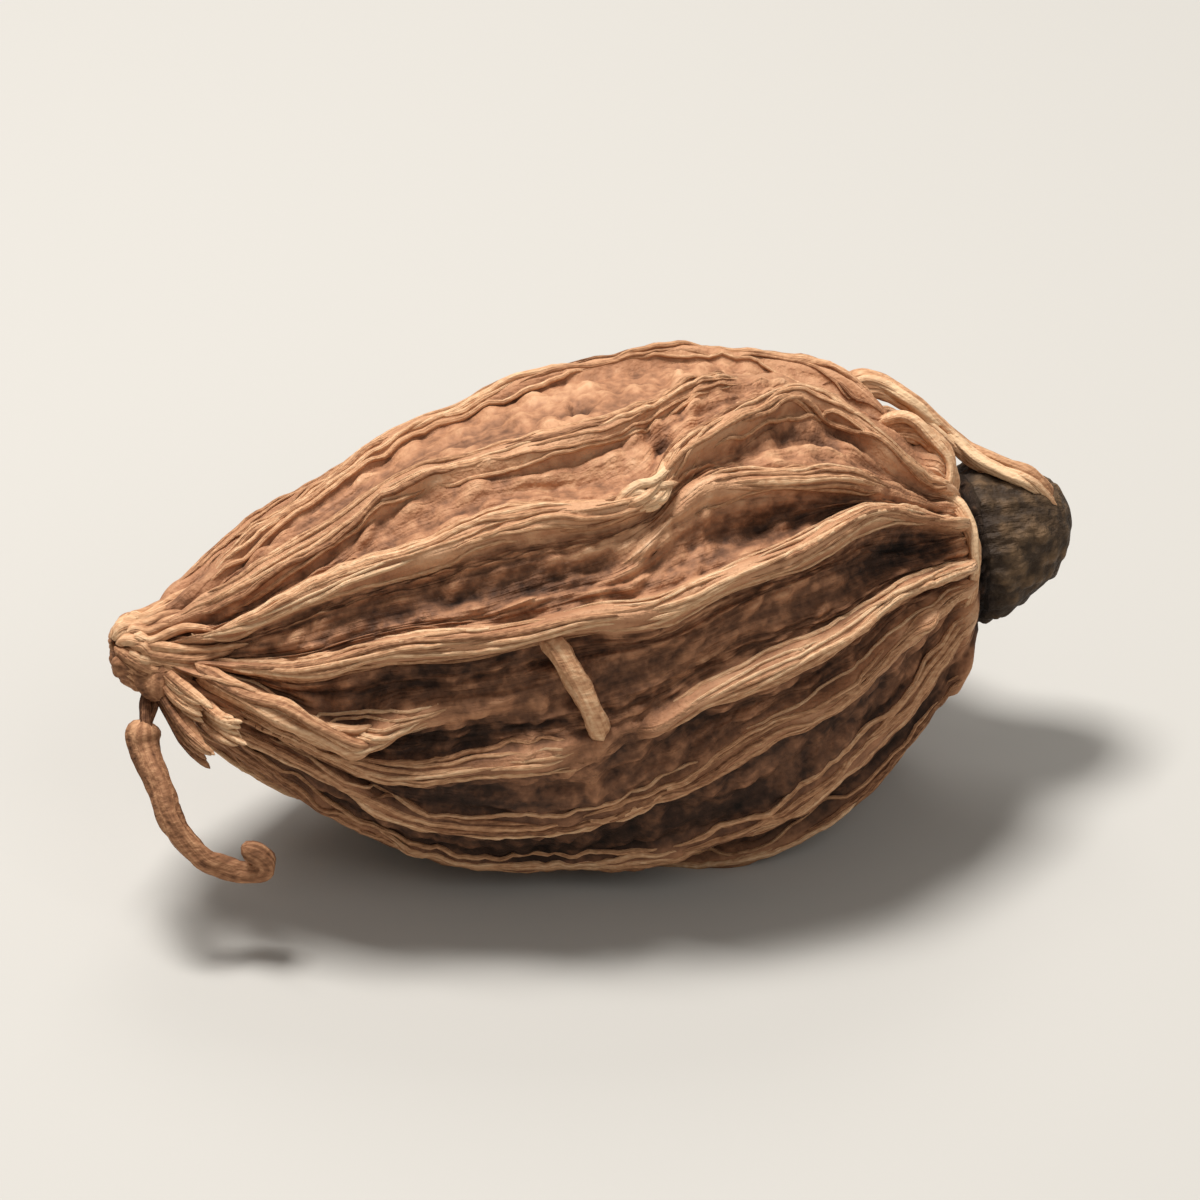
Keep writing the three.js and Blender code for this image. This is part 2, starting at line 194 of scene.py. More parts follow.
# %% Front ribs, from the bottom to the top of the pod
FRONT_RIBS = {
    "lowest": [[2, -38, .3], [6, -56, .34], [10, -52, .3], [13.7, -35, .34], [16.3, -21, .36],
               [18.5, -12, .36], [20.4, 2, .3]],
    "low": [[2, -16, .3], [4.4, -21, .42], [6, -30, .38], [9, -27, .2], [11.8, -16, .26],
            [13.8, -4, .36], [16, 2, .4], [18.2, 11, .4], [20.4, 17, .3]],
    "strong_lower": [[2, 3, .3], [4, -9, .3], [5, -12, .3], [6.3, -9, .36], [8.7, -2, .34], [10.2, 0, .16],
                     [11, 2, .1], [11.6, 5, .5], [12.7, 11, .5], [14.5, 14, .5], [16.6, 20, .5],
                     [18.2, 25, .5], [20.4, 26, .4]],
    "finger": [[2, 19, .5], [3.2, 9, .6], [3.9, 4, .62], [4.7, 0, .6], [5.3, 3, .42], [6, 8, .26],
               [7.2, 11, .18], [9, 14, 0], [11, 18, 0], [16, 30, 0], [20.4, 35, 0]],
    "main": [[2, 28, .3], [3.9, 27, .44], [5.1, 31, .48], [7.4, 31, .5], [10, 32, .54], [11.6, 32, .56],
             [13.2, 35, .58], [14.5, 38, .58], [16.1, 42, .56], [17.6, 47, .54], [19, 48, .52],
             [20.4, 43, .42]],
    "inner": [[2, 37, 0], [5.3, 44, 0], [9, 45, 0], [11, 47, 0], [12, 50, .12], [13, 55, .3], [14.1, 58, .36],
              [16.8, 57, .36], [18.5, 57, .2], [20.4, 50, .1]],
    "arch": [[2, 47, .45], [3.3, 54, .5], [4.5, 57, .5], [8.8, 58, .46], [12, 56, .52], [12.9, 64, .5],
             [14, 70, .48], [15.6, 78, .48], [16.9, 85, .5], [17.8, 80, .5], [18.9, 68, .5], [20.4, 57, .42]],
    "upper": [[2, 72, .34], [3.5, 75, .4], [4.9, 78, .42], [6.4, 82, .4], [9, 79, .4], [11.7, 77, .36],
              [13.3, 84, .28], [15.5, 94, .2], [17, 100, .14], [18.2, 93, .1], [20.4, 73, .24]],
    "top": [[2, 98, .3], [4.2, 105, .34], [6.7, 116, .4], [9, 119, .38], [11.3, 117, .38], [15.9, 118, .44],
            [17.4, 116, .5], [18.4, 108, .55], [19.1, 97, .4], [19.8, 92, .12], [20.4, 90, .1]],
}
print("front ribs:", ", ".join(FRONT_RIBS))

# %% [markdown]
# ## Ribs of the back and the underside
# The far side isn't seen, so its ribs follow a rule: they are spread over the room that the front leaves, and
# each wanders on a slow wave that is out of step with its neighbours, as grown things are.
# Every rib is a smooth curve through its stations. A short wave makes it waver and swell a little on the way.

# %% Back ribs, and every rib as a smooth course
BACK_RIBS = 8
BACK_HEIGHT, BACK_VARIATION, BACK_WANDER, LONG_WAVE = 0.36, 0.12, 4.0, 15.0
GOLDEN_ANGLE = math.pi * (3 - math.sqrt(5))  # no two ribs are in step
RIB_SPAN, SPAN_POINTS = (2.0, 20.4), 120  # mm from the stalk, as the front ribs' stations
CURVE_STEPS = 16


def smooth_curve(stations):
    """A Catmull-Rom curve through the stations, as a dense row of points."""
    p = np.array([stations[0], *stations, stations[-1]], float)
    u = np.linspace(0, 1, CURVE_STEPS, endpoint=False)[:, None]
    weights = (-u + 2 * u**2 - u**3, 2 - 5 * u**2 + 3 * u**3, u + 4 * u**2 - 3 * u**3, u**3 - u**2)
    spans = [sum(w * q for w, q in zip(weights, p[i:i + 4])) / 2 for i in range(len(p) - 3)]
    return np.concatenate([*spans, p[-1:]])


def course(curve, places, column=1):
    """The curve's angle at these places, or its height with column 2."""
    return np.interp(places, curve[:, 0], curve[:, column])


def wave(places, length, index, rate):
    """A wave along the pod, out of step from rib to rib."""
    return np.sin(2 * math.pi * places / length + rate * index * GOLDEN_ANGLE)


ribs = [smooth_curve(stations) for stations in FRONT_RIBS.values()]
dense = np.linspace(*RIB_SPAN, SPAN_POINTS)
bottom, top = course(ribs[0], dense), course(ribs[-1], dense)
for i in range(BACK_RIBS):
    angle = top + (bottom + 360 - top) * (i + 1) / (BACK_RIBS + 1)
    angle += BACK_WANDER * wave(dense, LONG_WAVE, i, 1)
    height = BACK_HEIGHT + BACK_VARIATION * wave(dense, LONG_WAVE, i, 2)
    ribs.append(np.stack([dense, angle, height], 1))
print("ribs in all:", len(ribs))

# %% [markdown]
# ## The flat pattern of the husk
# A dressmaker cuts a skin flat before it is sewn up. This pattern is flat too: one number runs along the pod
# and one round it. An even grid would give ribs with saw-tooth edges, because they run across its columns.
# Here the columns follow the ribs, close together on their flanks and wide apart in the valleys. Each point
# also notes how far across a rib it is, how high that rib's crest is, and how far it is from a rib's foot.

# %% Pattern grid
ROWS, ROW_CROWDING = 242, 0.5  # 0 spaces the rows evenly along the pod, 1 crowds them at both ends
RIB_STEPS = (-1.2, -1.0, -0.85, -0.6, -0.2, 0.2, 0.6, 0.85, 1.0, 1.2)
VALLEY_COLUMNS = 14
RIB_HALF_WIDTH, WIDTH_SWELL, WIDTH_WAVE = 0.37, 0.16, 5.3  # mm, share, mm
ROOM_SHARE = 0.36  # of the way to the next rib is the most that a rib's half-width takes
SHORT_WAVE, SHORT_WANDER, CREST_SWELL = 3.7, 0.5, 0.12  # mm, degrees, share of the height
RIB_START, RIB_END = (0.5, 1.8), (20.25, 21.3)  # mm from the stalk, where the ribs rise and where they fade
LEAST_RADIUS = 0.4  # mm. Nearer to a tip, a rib's width in degrees grows no more
IN_VALLEY = 2.0  # the mark of a point beyond a rib's foot, which is at 1


def girth(places):
    """The smooth husk's radius."""
    stalk_side = places < BELLY_PLACE
    reach, power = np.where(stalk_side, [[BELLY_PLACE], [STALK_FULLNESS]], [[NOSE_REACH], [NOSE_FULLNESS]])
    body = BELLY_RADIUS * (1 - np.minimum(1, np.abs(places - BELLY_PLACE) / reach) ** power)
    nose = np.minimum(1, np.abs(places - POD_LENGTH + NOSE_LENGTH) / NOSE_LENGTH)
    nose = np.where(stalk_side, 0, NOSE_RADIUS * np.sqrt(1 - nose**NOSE_POWER))
    return (body**NOSE_BLEND + nose**NOSE_BLEND) ** (1 / NOSE_BLEND)


def ease(places, start, end):
    """A soft step from 0 at the start to 1 at the end."""
    share = np.clip((places - start) / (end - start), 0, 1)
    return share * share * (3 - 2 * share)


even = np.linspace(0, 1, ROWS + 1)[1:-1]
places = POD_LENGTH * (even + ROW_CROWDING * ((1 - np.cos(math.pi * even)) / 2 - even))
radii = girth(places)
fade = ease(places, *RIB_START) * (1 - ease(places, *RIB_END))
rib_angles = [course(rib, places) + SHORT_WANDER * wave(places, SHORT_WAVE, i, 3)
              for i, rib in enumerate(ribs)]
rib_angles.append(rib_angles[0] + 360)
rib_crests = [course(rib, places, 2) * (1 + CREST_SWELL * wave(places, SHORT_WAVE, i, 5)) * fade
              for i, rib in enumerate(ribs)]
gaps = np.diff(rib_angles, axis=0)
widest = [RIB_HALF_WIDTH * (1 + WIDTH_SWELL * wave(places, WIDTH_WAVE, i, 2)) for i in range(len(ribs))]
widest = np.degrees(widest / np.maximum(radii, LEAST_RADIUS))
rib_halves = np.minimum(widest, ROOM_SHARE * np.minimum(gaps, np.roll(gaps, 1, 0)))
level = np.zeros_like(places)
columns = []  # of [angle, strand, across, crest, away] at every place
for i in range(len(ribs)):
    for step in RIB_STEPS:
        strand = i + 0.5 * (step - RIB_STEPS[0]) / (RIB_STEPS[-1] - RIB_STEPS[0])
        angle = rib_angles[i] + step * rib_halves[i]
        columns.append([angle, strand + level, step + level, rib_crests[i], level])
    foot = rib_angles[i] + RIB_STEPS[-1] * rib_halves[i]
    next_foot = rib_angles[i + 1] + RIB_STEPS[0] * rib_halves[(i + 1) % len(ribs)]
    for k in range(VALLEY_COLUMNS):
        share = (k + 1) / (VALLEY_COLUMNS + 1)
        strand = i + 0.5 + 0.5 * share
        angle = foot + share * (next_foot - foot)
        away = np.radians(next_foot - foot) * radii * min(share, 1 - share)
        columns.append([angle, strand + level, IN_VALLEY + level, rib_crests[i], away])
pattern = np.array(columns)  # column, mark, row
print("pattern:", pattern.shape[0], "columns,", pattern.shape[2], "rows")

# %% [markdown]
# ## Veins, net and hollows
# Between two ribs the skin carries thinner veins, and short oblique ties join the ribs as a net.
# The ones that can be read on the front are listed. The rest are drawn by a seeded rule, so that every run
# gives the same pod. A line with a negative height is a hollow: the skin sinks along it.

# %% Listed veins, then veins and net by rule
SEED = 11
FRONT_VEINS = [  # [distance, angle, height, half-width]
    [[15, 65, .08, .2], [16, 69, .16, .2], [16.9, 70, .14, .2], [17.9, 68, .05, .2]],
    [[18.3, 9, .05, .22], [18.8, 14, .24, .22], [19.3, 19, .05, .22]],
    [[8.8, -15, .02, .17], [9.6, -5, .17, .17], [10.3, 0, .2, .17], [10.8, 8, .03, .17]],
    [[10.15, -9, .02, .2], [10.2, -14, .16, .2], [10.3, -22, .02, .2]],
    [[12.6, 43, -.08, .45], [14.5, 48, -.24, .5], [16.5, 49.5, -.26, .5], [18.3, 52, -.12, .4]],
    [[14.2, 62, -.08, .4], [15.6, 73, -.2, .4], [17, 77, -.22, .45], [17.9, 73, -.08, .4]],
    [[16.4, 32, -.1, .5], [17.6, 36, -.32, .6], [18.9, 38, -.36, .6], [20, 36, -.12, .4]],
    [[5.2, -4, -.1, .4], [6.4, -1, -.24, .45], [8, 4, -.16, .5], [9.2, 8, -.05, .4]],
    [[4.4, 44, -.05, .4], [6.5, 45, -.26, .6], [9.5, 45, -.26, .6], [11.3, 44, -.05, .4]],
    [[4.2, 17, -.05, .4], [6, 21, -.24, .5], [8.3, 23, -.24, .55], [10.5, 24, -.05, .5]],
    [[11.7, 55, .04, .5], [12.1, 57, .2, .55], [12.6, 60, .04, .5]],
    [[11.2, 46, .03, .8], [12.3, 48, .15, .9], [13.1, 51, .03, .8]],
    [[11.2, 92, -.1, .3], [11.6, 96, -.3, .35], [12.1, 99, -.1, .3]],
    [[12.7, 76, -.1, .3], [13, 73, -.3, .35], [13.2, 71, -.1, .3]],
]
COLLAR_PLACE, GROOVE_PLACE = 20.25, 21.05
RING_HEIGHT, RING_HALF_WIDTH, RING_WOBBLE, RING_POINTS = 0.3, 0.55, 0.12, 37
VEINS_PER_VALLEY, VEIN_POINTS = 2, 9
VEIN_START, VEIN_END = (2, 9), (12, 19.5)  # these ranges are in mm, and each line draws its own value
VEIN_HEIGHT, VEIN_HALF_WIDTH = (0.05, 0.13), (0.15, 0.22)
VEIN_STRAY, STRAY_SHARE = 0.09, 0.4
VEIN_LIMITS, TIE_LIMITS = (0.15, 0.85), (0.05, 0.95)  # shares of the way from rib to rib
TIES_PER_VALLEY, TIE_POINTS = 3, 5
TIE_START, TIE_LENGTH = (3, 18), (0.6, 1.8)
TIE_HEIGHT, TIE_HALF_WIDTH = (0.07, 0.16), (0.13, 0.2)
VEIN_RISE, TIE_RISE = 0.15, 0.4  # radians of a sine's hump that are left out at each end

draw = np.random.default_rng(SEED)
vein_lines = [np.array(line, float)[:, :3] for line in FRONT_VEINS]
vein_widths = [np.array(line, float)[:, 3] for line in FRONT_VEINS]
for ring, height in ((COLLAR_PLACE, RING_HEIGHT), (GROOVE_PLACE, -RING_HEIGHT)):
    around = np.linspace(-180, 180, RING_POINTS)
    wobble = RING_WOBBLE * np.sin(np.radians(2 * around) + ring)
    vein_lines.append(np.stack([ring + wobble, around, np.full(RING_POINTS, height)], 1))
    vein_widths.append(np.full(RING_POINTS, RING_HALF_WIDTH))
for i, rib in enumerate(ribs):
    other, turn_on = ribs[(i + 1) % len(ribs)], 360 if i + 1 == len(ribs) else 0
    for k in range(VEINS_PER_VALLEY):
        at = np.linspace(draw.uniform(*VEIN_START), draw.uniform(*VEIN_END), VEIN_POINTS)
        stray = draw.normal(0, VEIN_STRAY, VEIN_POINTS).cumsum() * STRAY_SHARE
        share = (k + 1) / (VEINS_PER_VALLEY + 1) + stray
        low, high = course(rib, at), course(other, at) + turn_on
        hump = np.sin(np.linspace(VEIN_RISE, math.pi - VEIN_RISE, VEIN_POINTS))
        height = draw.uniform(*VEIN_HEIGHT) * hump
        vein_lines.append(np.stack([at, low + (high - low) * np.clip(share, *VEIN_LIMITS), height], 1))
        vein_widths.append(np.full(VEIN_POINTS, draw.uniform(*VEIN_HALF_WIDTH)))
    for k in range(TIES_PER_VALLEY):
        at = draw.uniform(*TIE_START) + np.linspace(0, draw.uniform(*TIE_LENGTH), TIE_POINTS)
        low, high = course(rib, at), course(other, at) + turn_on
        hump = np.sin(np.linspace(TIE_RISE, math.pi - TIE_RISE, TIE_POINTS))
        height = draw.uniform(*TIE_HEIGHT) * hump
        share = np.linspace(*TIE_LIMITS, TIE_POINTS)
        vein_lines.append(np.stack([at, low + (high - low) * share, height], 1))
        vein_widths.append(np.full(TIE_POINTS, draw.uniform(*TIE_HALF_WIDTH)))
print("veins, ties and hollows:", len(vein_lines))

# %% [markdown]
# ## From lines to relief
# A line has no thickness. The second node group smooths the veins through their stations, lays them on the
# husk, and answers for any point of the skin: how near is the closest line, and how high is its crest there?
# Curves could be thickened to tubes instead, but tubes only lie on a skin. A distance makes the skin itself
# swell, with a soft foot, as a cord under leather does.

# %% Node group: raised lines
LINE_POINTS = 60
CREST_SHARE, FOOT_SHARE = 0.1, 1.25  # of the half-width: the round top, and the outer edge of the foot

line_tree, given, result = start_tree(
    "raised_lines", {"Lines": "Geometry", "Point": "Vector", "Width": 1.0}, {"Height": "Float"})
t = line_tree
curves = add(t, "GeometryNodeMeshToCurve", (given["Lines"],))
curves = add(t, "GeometryNodeCurveSplineType", (curves,), spline_type="CATMULL_ROM")
curves = add(t, "GeometryNodeResampleCurve", {"Curve": curves, "Count": LINE_POINTS}, mode="COUNT")
lines = add(t, "GeometryNodeCurveToMesh", (curves,))
station = add(t, "ShaderNodeSeparateXYZ", (add(t, "GeometryNodeInputPosition"),))
lines = add(t, "GeometryNodeStoreNamedAttribute",
            {"Geometry": lines, "Name": "crest", "Value": station.outputs["Z"]}, data_type="FLOAT")
laid = add(t, "GeometryNodeGroup", {"Place": station.outputs["X"], "Angle": station.outputs["Y"]},
           node_tree=point_tree)
lines = add(t, "GeometryNodeSetPosition", {"Geometry": lines, "Position": laid.outputs["Point"]})
near = add(t, "GeometryNodeProximity", {"Geometry": lines, "Sample Position": given["Point"]},
           target_element="EDGES")
index = add(t, "GeometryNodeSampleNearest", {"Geometry": lines, "Sample Position": given["Point"]})
crest, breadth = (
    add(t, "GeometryNodeSampleIndex", {"Geometry": lines, "Index": index, "Value": add(
        t, "GeometryNodeInputNamedAttribute", (name,), data_type="FLOAT")})
    for name in ("crest", "breadth"))
breadth = add(t, MATH, (breadth, given["Width"]), operation="MULTIPLY")
share = add(t, MATH, (near.outputs["Distance"], breadth), operation="DIVIDE")
nearness = add(t, "ShaderNodeMapRange", (share, FOOT_SHARE, CREST_SHARE, 0.0, 1.0),
               interpolation_type="SMOOTHSTEP")
height = add(t, MATH, (crest, nearness), operation="MULTIPLY")
t.links.new(height.outputs[0], result.inputs["Height"])
print("raised lines:", len(t.nodes), "nodes")

# %% [markdown]
# ## The husk's own tree
# The tree takes the flat pattern and adds up the relief: the round section of each rib, the veins, the sag
# of the skin between ribs, shrinkage wrinkles, fibre lines, small pebbles and slow lumps. Then it rolls the
# pattern up by the husk's rule. Noise is sampled on a drum whose circumference follows the ribs, so that
# every streak runs along its rib and the pattern meets itself all round. The spot it lies on is pressed flat.
# Sculpting could do all this once, but here each kind of relief keeps its own named depth and size.

# %% Node tree: ribbed husk
DRUM_RADIUS = 5.5  # mm, about the pod's own, so that a pattern's size is true at the belly
TIP_ROOM = 1.0  # below this radius all relief shrinks with the husk
NOSE_EDGE = (20.9, 21.3)  # mm from the stalk: beyond it patterns lie in space, as the drum is too wide there
SAG_END = 0.7  # mm from a rib's foot, where the skin has sunk
STRONG_RIB = 0.45  # mm. A crest of this height counts as a full rib for the material
SKEW = (0.6, 0.5, 0.4)  # radians
NOISE_RANGE, PEBBLE_RANGE = (0.25, 0.75), (0.15, 0.75)  # what noise and cells mostly give
DRIFT_RATE = 0.9  # waves per mm
NOSE_CALM, NOSE_PEBBLES, RIB_COVER = 0.9, 0.4, 0.8  # shares of the relief that the nose or a rib takes away
FLOOR_LIMIT = (-100.0, -100.0, 0.0)  # mm. No point lies lower than the floor, and the first two leave it free


def close_tree(tree, shape, given, output):
    """Ends a tree: its shape in metres, smooth, realized and with its material."""
    shape = add(tree, "GeometryNodeTransform", {"Geometry": shape, "Scale": (MM, MM, MM)})
    shape = add(tree, "GeometryNodeSetShadeSmooth", (shape,))
    shape = add(tree, "GeometryNodeRealizeInstances", (shape,))
    shape = add(tree, "GeometryNodeSetMaterial", {"Geometry": shape, "Material": given["Material"]})
    tree.links.new(shape.outputs[0], output)
    print(tree.name, "tree:", len(tree.nodes), "nodes")


husk_tree, given, result = start_tree("ribbed_husk", {
    "Pattern": "Geometry", "Veins": "Object", "Hollows": "Object",
    "Rib Height": 1.15, "Rib Squareness": 2.2, "Rib Roundness": 0.6,
    "Vein Height": 1.0, "Vein Width": 1.0, "Vein Drift": 0.3, "Valley Sag": 0.2,
    "Wrinkle Depth": 0.1, "Wrinkle Length": 2.2, "Wrinkle Width": 0.6,
    "Fibre Depth": 0.07, "Fibre Length": 3.0, "Fibre Width": 0.2,
    "Lump Depth": 0.16, "Lump Size": 4.5, "Pebble Depth": 0.12, "Pebble Length": 0.55, "Pebble Width": 0.4,
    "Seed": 3.0, "Material": "Material"}, {"Husk": "Geometry"})
t = husk_tree
flat = add(t, "ShaderNodeSeparateXYZ", (add(t, "GeometryNodeInputPosition"),))
place, angle, strand = flat.outputs
smooth = add(t, "GeometryNodeGroup", {"Place": place, "Angle": angle}, node_tree=point_tree)
across, crest, away = (add(t, "GeometryNodeInputNamedAttribute", (name,), data_type="FLOAT")
                       for name in ("across", "crest", "away"))

# The drum that patterns are laid on
turn = add(t, MATH, (strand, 2 * math.pi / len(ribs)), operation="MULTIPLY")
drum = add(t, "ShaderNodeCombineXYZ", (
    0.0, add(t, MATH, (turn,), operation="COSINE"), add(t, MATH, (turn,), operation="SINE")))
drum = add(t, VECTOR_MATH, {0: drum, "Scale": DRUM_RADIUS}, operation="SCALE")
drum = add(t, VECTOR_MATH, (drum, add(t, "ShaderNodeCombineXYZ", (place,))), operation="ADD")
in_space = add(t, VECTOR_MATH, (smooth.outputs["Point"], (POD_LENGTH / 2, 0.0, 0.0)), operation="ADD")
on_nose = add(t, "ShaderNodeMapRange", (place, *NOSE_EDGE, 0.0, 1.0))
grain = add(t, MIX, {0: on_nose, 1: drum, 2: in_space}, data_type="VECTOR")

# Each pattern is noise of a real length and width, drawn from -1 to 1. The skewed drum hides noise's own grid
patterns = {}
for label, long, wide, detail in (("Wrinkle", "Wrinkle Length", "Wrinkle Width", 2.0),
                                  ("Fibre", "Fibre Length", "Fibre Width", 1.0),
                                  ("Lump", "Lump Size", "Lump Size", 1.0)):
    size = add(t, "ShaderNodeCombineXYZ", (given[long], given[wide], given[wide]))
    where = add(t, VECTOR_MATH, (grain, size), operation="DIVIDE")
    where = add(t, "ShaderNodeVectorRotate", {"Vector": where, "Rotation": SKEW}, rotation_type="EULER_XYZ")
    noise = add(t, "ShaderNodeTexNoise", {
        "Vector": where, "W": given["Seed"], "Scale": 1.0, "Detail": detail}, noise_dimensions="4D")
    patterns[label] = add(t, "ShaderNodeMapRange", (noise, *NOISE_RANGE, -1.0, 1.0))

# The skin has shrunk to small pebbles: cells that are high in the middle and low where they meet
size = add(t, "ShaderNodeCombineXYZ", (given["Pebble Length"], given["Pebble Width"], given["Pebble Width"]))
where = add(t, VECTOR_MATH, (grain, size), operation="DIVIDE")
cells = add(t, "ShaderNodeTexVoronoi", {"Vector": where, "W": given["Seed"], "Scale": 1.0},
            voronoi_dimensions="4D", feature="F1")
patterns["Pebble"] = add(t, "ShaderNodeMapRange", (cells, *PEBBLE_RANGE, 1.0, -1.0))

# A rib is a round cord: full height at its middle, none from its foot on
off_middle = add(t, MATH, (across,), operation="ABSOLUTE")
section = add(t, MATH, (off_middle, given["Rib Squareness"]), operation="POWER")
section = add(t, MATH, (1.0, section), operation="SUBTRACT", use_clamp=True)
section = add(t, MATH, (section, given["Rib Roundness"]), operation="POWER")
rib = add(t, MATH, (section, crest), operation="MULTIPLY")

# The veins waver, because the skin looks for them at a point that noise has moved
where = add(t, VECTOR_MATH, {0: grain, "Scale": DRIFT_RATE}, operation="SCALE")
drift = add(t, "ShaderNodeTexNoise", {"Vector": where, "W": given["Seed"], "Scale": 1.0, "Detail": 1.0},
            noise_dimensions="4D")
drift = add(t, VECTOR_MATH, (drift.outputs["Color"], (0.5, 0.5, 0.5)), operation="SUBTRACT")
drift = add(t, VECTOR_MATH, {0: drift, "Scale": given["Vein Drift"]}, operation="SCALE")
where = add(t, VECTOR_MATH, (smooth.outputs["Point"], drift), operation="ADD")
vein = 0.0
for label in ("Veins", "Hollows"):  # apart, so that a vein and a hollow meet without a step
    lines = add(t, "GeometryNodeObjectInfo", (given[label],), transform_space="ORIGINAL")
    sources = {"Lines": lines.outputs["Geometry"], "Point": where, "Width": given["Vein Width"]}
    height = add(t, "GeometryNodeGroup", sources, node_tree=line_tree)
    vein = add(t, MATH, (height, vein), operation="ADD")

# The relief, added up
valley = add(t, "ShaderNodeMapRange", (away, 0.0, SAG_END, 0.0, 1.0), interpolation_type="SMOOTHSTEP")
relief = add(t, MATH, (rib, given["Rib Height"]), operation="MULTIPLY")
relief = add(t, MATH, (vein, given["Vein Height"], relief), operation="MULTIPLY_ADD")
smooth_nose = add(t, MATH, (on_nose, -NOSE_CALM, 1.0), operation="MULTIPLY_ADD")
sunk = add(t, MATH, (valley, given["Valley Sag"]), operation="MULTIPLY")
sunk = add(t, MATH, (sunk, smooth_nose), operation="MULTIPLY")
relief = add(t, MATH, (relief, sunk), operation="SUBTRACT")
covered = add(t, MATH, (rib, STRONG_RIB), operation="DIVIDE", use_clamp=True)
free = add(t, MATH, (covered, -RIB_COVER, 1.0), operation="MULTIPLY_ADD")
pebbled = add(t, MATH, (on_nose, -NOSE_PEBBLES, free), operation="MULTIPLY_ADD")
for label, share in (("Wrinkle", free), ("Fibre", smooth_nose), ("Lump", 1.0), ("Pebble", pebbled)):
    depth = add(t, MATH, (given[label + " Depth"], share), operation="MULTIPLY")
    relief = add(t, MATH, (patterns[label], depth, relief), operation="MULTIPLY_ADD")
room = add(t, MATH, (smooth.outputs["Radius"], TIP_ROOM), operation="DIVIDE", use_clamp=True)
relief = add(t, MATH, (relief, room), operation="MULTIPLY")

# What the material reads
skin = given["Pattern"]
for name, kind, value in (("rib", "FLOAT", covered), ("vein", "FLOAT", vein), ("valley", "FLOAT", valley),
                          ("pebble", "FLOAT", patterns["Pebble"]), ("grain", "FLOAT_VECTOR", grain)):
    skin = add(t, "GeometryNodeStoreNamedAttribute", {"Geometry": skin, "Name": name, "Value": value},
               data_type=kind)

# The pattern is rolled up, pressed flat where it lies and scaled to metres
rolled = add(t, "GeometryNodeGroup", {"Place": place, "Angle": angle, "Height": relief}, node_tree=point_tree)
pressed = add(t, VECTOR_MATH, (rolled.outputs["Point"], FLOOR_LIMIT), operation="MAXIMUM")
skin = add(t, "GeometryNodeSetPosition", {"Geometry": skin, "Position": pressed})
close_tree(t, skin, given, result.inputs["Husk"])

# %% [markdown]
# ## The husk's finish: smoke-dried plant fibre
# The dried skin is a matte dark brown, and in the creases and hollows it is painted darker still, as shade.
# The fibre cords have lost that skin along their crests and show straw and tan. One picture could be wrapped
# round it, but a pattern worked out from the shape follows every rib: the attributes of the tree say where a
# rib, a vein or a valley is, noise on the same drum adds streaks along the fibres, and noise in space adds
# small flecks.

# %% Colours and the husk's material


def colour(code):
    """An sRGB hex colour as the linear colour that Blender works with."""
    parts = [int(code[i:i + 2], 16) / 255 for i in (1, 3, 5)]
    return [*(p / 12.92 if p <= 0.04045 else ((p + 0.055) / 1.055) ** 2.4 for p in parts), 1.0]


def set_stops(ramp, stops):
    """Gives a colour ramp its (stop, hex colour) pairs."""
    while len(ramp.elements) < len(stops):
        ramp.elements.new(1.0)
    for element, (stop, code) in zip(ramp.elements, stops):
        element.position, element.color = stop, colour(code)


def dull_surface(tree, shader, streak, roughness, bumps):
    """Roughness that follows the streaks, little shine, and bumps of (height, strength, depth in mm)."""
    rough = add(tree, "ShaderNodeMapRange", (streak, *STREAK_RANGE, *roughness))
    tree.links.new(rough.outputs[0], shader.inputs["Roughness"])
    bump = None
    for height, strength, depth in bumps:
        bump = add(tree, "ShaderNodeBump", {
            "Height": height, "Strength": strength, "Distance": depth * MM, "Normal": bump})
    tree.links.new(bump.outputs[0], shader.inputs["Normal"])
    shader.inputs["Specular IOR Level"].default_value = SHINE


STREAK_RANGE, SHINE = (0.3, 0.7), 0.2  # what the streaks' noise mostly gives, and a low specular level
HUSK_ROUGHNESS, GRIT_BUMP, FINE_BUMP = (0.78, 0.58), (0.8, 0.06), (0.9, 0.1)  # bumps: strength, mm
HUSK_TONES = ((0.0, "#1a120d"), (0.2, "#3f2b20"), (0.4, "#724e38"), (0.6, "#a97857"), (0.8, "#c99973"),
              (1.0, "#dfb792"))
NOSE_TONES = ((0.0, "#281e18"), (0.3, "#403225"), (0.6, "#785e44"), (1.0, "#b2906a"))
STREAK = (3.5, 0.26, 0.26)  # mm, along and across the fibres
FLECK, MOTTLE, GRIT = 0.22, 2.4, 0.1  # mm
PAINTED_LIGHT_HEIGHTS = (2.0, 10.5)  # mm above the floor. Painted light and shade: the skin is painted darker below and lighter above
# The vein tone pales raised veins, and paints the sunk hollows darker as shade
BASE_TONE, RIB_TONE, VEIN_PALENESS_AND_HOLLOW_SHADE, CREASE_PAINTED_SHADE_TONE, NOSE_TONE = 0.45, 0.24, 0.9, -0.04, -0.08
FLECK_TONE, PEBBLE_TONE, STREAK_TONE, MOTTLE_TONE, PAINTED_TOP_LIGHT_TONE = 0.42, 0.13, 0.5, 0.3, 0.21
RIB_CALM, RIB_TOP_LIGHT_LOSS, NOSE_STREAK_LOSS = 0.75, 0.17, 0.4  # what a rib or the nose takes from the tones above
FINE_FIBRE = (2.0, 0.13, 0.13)  # mm. Real fibres are finer still, and would not show at this distance
